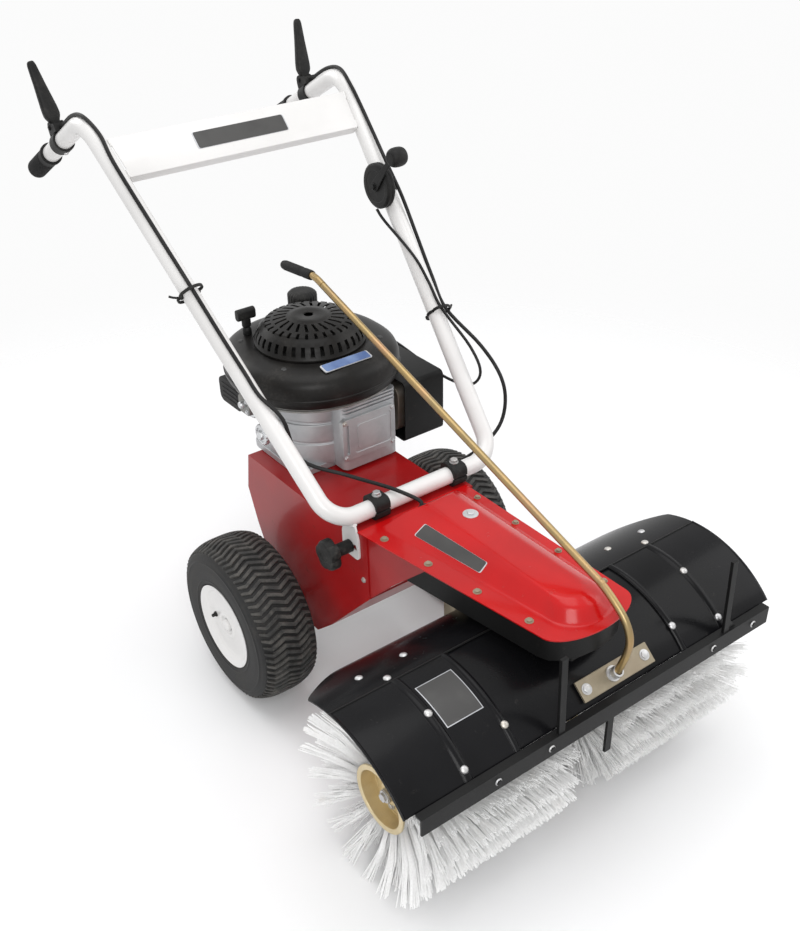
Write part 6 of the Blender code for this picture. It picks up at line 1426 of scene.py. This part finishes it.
def steering():
    """The bent steering rod with its grip, and the plated bracket that holds its foot."""
    normal = Vector(hood_normal(ROD_ANGLE))
    origin = Vector(hood_point(0.037, ROD_ANGLE, HOOD_OUT))
    foot = origin + Vector((-0.007, 0, 0)) + normal * 0.0083
    lead = [(0.03, -0.7085, 0.392), (0.03, -0.7125, 0.424), (0.03, -0.703, 0.45), (0.03, -0.681, 0.472),
        (0.03, -0.6405, 0.496)]
    front, top = Vector(lead[-1]), Vector((0, 0.0637, 0.7693))
    run = [front.lerp(top, share) for share in (0.08, 0.92)]
    bend = [top + Vector((0, -0.014, -0.0045)), top + Vector((0, 0.013, 0.0025)),
        top + Vector((0, 0.04, 0.0005))]
    end = top + Vector((0, 0.1135, -0.006))
    path = smooth_route([foot, foot + normal * 0.004, foot + normal * 0.012] + lead + run + bend + [end], 8)
    piece("bent_steering_rod", sweep(bmesh.new(), path, ROD_RADIUS, 28), YELLOW_ZINC, "head", "swivel_rod",
        smooth=60)
    heading = (path[-1] - path[-2]).normalized()
    out = 0.0092
    profile = [(0.006, 0), (0.0055, out * 0.55), (0.002, out * 0.85), (-0.006, out), (-0.06, out),
        (-0.062, out * 0.95), (-0.07, out * 0.95), (-0.072, out), (-0.09, out), (-0.095, out * 0.93),
        (-0.095, 0.0068), (0.0003, 0.0068), (0.0003, 0)]
    piece("rod_hand_grip", lathe(bmesh.new(), profile, path[-1], heading, 0.001, 36), GRIP_BLACK, "head",
        "swivel_rod_grip")
    dress("rod_plate", PALE_ZINC, 0.0012)
    heads = bmesh.new()
    for side in (-1, 1):
        hex_bolt(heads, origin + Vector((side * 0.065, 0, 0)) + normal * 0.008, normal, 0.007, 0.0044, 1.35)
    hex_bolt(heads, foot, normal, 0.0105, 0.008, 1.25)
    collar = foot + normal * 0.012
    lathe(heads, [(-0.004, 0.0066), (-0.004, 0.0105), (0.006, 0.0095), (0.006, 0.0066)], collar, normal,
        0.0008, 28)
    piece("rod_plate_bolts", heads, BOLT_ZINC, "head")


def underneath():
    """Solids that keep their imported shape, in their own finishes."""
    # The chassis frame's red carries painted shade.
    packed = (("chassis_frame", SHADED_FRAME_RED, 0.001, 2), ("belt_tray", SATIN_BLACK, 0.0008, 2), ("front_rail",
        SATIN_BLACK, 0.0008, 2), ("swivel_yoke", SATIN_BLACK, 0.0012, 2), ("rear_post", PALE_ZINC, 0.0015,
        2), ("gearbox_case", DULL_CAST, 0.003, 3), ("gear_case", DULL_CAST, 0.002, 3), ("drive_belt", BELT,
        0.001, 2))
    for node, finish, bevel, segments in packed:
        dress(node, finish, bevel, segments)
    for node in ("crank_pulley", "driven_pulley", "idler_pulley", "idler_arm", "pinion_shaft",
            "brush_shaft", "crown_gear"):
        dress(node, STEEL, 0.0005)


def chassis_details():
    """A bolt on each of the frame's side plates, and the flanges round the axle."""
    bolts("frame_bolts", BOLT_ZINC, "chassis", *(((x, -0.248, 0.3472), (way, 0, 0), 0.0042, 0.0034, 1.3)
        for x, way in ((-0.142, -1), (0.09, 1))))
    # The axle flanges take the frame's red, with its painted shade.
    for (side, word), x in zip(SIDES, (-0.1422, 0.0902)):
        bm = lathe(bmesh.new(), [(-0.0005, 0.013), (-0.0005, 0.03), (0.0035, 0.03), (0.0035, 0.013)],
            (x, 0, TYRE_RADIUS), (side, 0, 0), 0.0008, 40)
        piece(f"axle_flange_{word}", bm, SHADED_FRAME_RED, "chassis")


def staged(name, data, matrix):
    """An object of the surroundings at its place."""
    made = bpy.data.objects.new(name, data)
    made.matrix_world = matrix
    bpy.context.collection.objects.link(made)
    return made


def studio():
    """A white backdrop, a pale floor that ends softly, and broad lights from above and both sides."""
    world = bpy.data.worlds.new("studio")
    bpy.context.scene.world = world
    world.use_nodes = True
    tree = world.node_tree
    path = tree.nodes.new("ShaderNodeLightPath")
    seen = path.outputs["Is Camera Ray"]
    for ray in ("Is Glossy Ray", "Is Transmission Ray"):
        either = tree.nodes.new("ShaderNodeMath")
        either.operation = "MAXIMUM"
        tree.links.new(seen, either.inputs[0])
        tree.links.new(path.outputs[ray], either.inputs[1])
        seen = either.outputs[0]
    tone = tree.nodes.new("ShaderNodeMix")
    tone.data_type = "RGBA"
    tone.inputs[6].default_value = (0.62, 0.62, 0.63, 1)
    tone.inputs[7].default_value = (0.97, 0.97, 0.97, 1)
    tree.links.new(seen, tone.inputs[0])
    tree.links.new(tone.outputs[2], tree.nodes["Background"].inputs[0])
    bm = bmesh.new()
    bmesh.ops.create_circle(bm, cap_ends=True, segments=96, radius=FLOOR_REACH)
    floor = bpy.data.meshes.new("floor")
    bm.to_mesh(floor)
    bm.free()
    floor.materials.append(floor_finish())
    staged("floor", floor, Matrix())
    aim = Vector((0, -0.1, 0.45))
    lamps = (("key", (-1.7, -2.6, 2.3), 1.8, 42), ("fill", (2.4, -1.2, 2.2), 2.4, 20),
        ("top", (0.0, 0.0, 4.6), 3.6, 62), ("back", (-0.8, 3.0, 2.4), 2.2, 26))
    for name, place, size, power in lamps:
        lamp = bpy.data.lights.new(name, "AREA")
        lamp.shape, lamp.size, lamp.energy = "DISK", size, power
        turn = (aim - Vector(place)).to_track_quat("-Z", "Y")
        staged(name, lamp, Matrix.Translation(place) @ turn.to_matrix().to_4x4())


def floor_finish():
    """Near-white floor that fades into the backdrop away from the machine."""
    pale = Finish("pale_floor", None, Base_Color=(0.93, 0.93, 0.93, 1), Roughness=0.9)
    far = pale.node("ShaderNodeVectorMath", {"operation": "LENGTH"}, {0: pale.place}, "Value")
    clear = pale.node("ShaderNodeBsdfTransparent")
    solid = Socket(pale, pale.shader.outputs[0])
    faded = pale.node("ShaderNodeMixShader", {}, {0: far.rise(0.9, FLOOR_REACH), 1: solid, 2: clear})
    pale.feed(pale.tree.nodes["Material Output"].inputs["Surface"], faded)
    return pale.stuff


def camera():
    """The photograph's own viewpoint."""
    yaw, pitch, roll, eye = 0.6472, 0.6136, -0.0171, (-1.0156, -1.5575 + AXLE_Y, 1.5471)
    ahead = Vector((sin(yaw) * cos(pitch), cos(yaw) * cos(pitch), -sin(pitch)))
    across = Vector((cos(yaw), -sin(yaw), 0))
    up = across.cross(ahead)
    right = across * cos(roll) + up * sin(roll)
    above = up * cos(roll) - across * sin(roll)
    lens = bpy.data.cameras.new("camera")
    lens.sensor_width, lens.lens = 36, 43.3
    lens.shift_x, lens.shift_y = -0.0169, 0.0756
    lens.clip_start = 0.05
    axes = Matrix((right, above, -ahead)).transposed().to_4x4()
    bpy.context.scene.camera = staged("camera", lens, Matrix.Translation(eye) @ axes)


def main():
    camera()
    cables()
    for side, word in SIDES:
        wheel(side, word)
        core(side, word)
        bristles(side, word, Random(17 + side))
    wheel_shaft()
    hood()
    nose()
    engine()
    exhaust()
    steering()
    handlebar()
    star_knob()
    throttle()
    underneath()
    chassis_details()
    blank_plates()
    studio()
    bpy.context.scene.view_settings.view_transform = "Standard"


main()
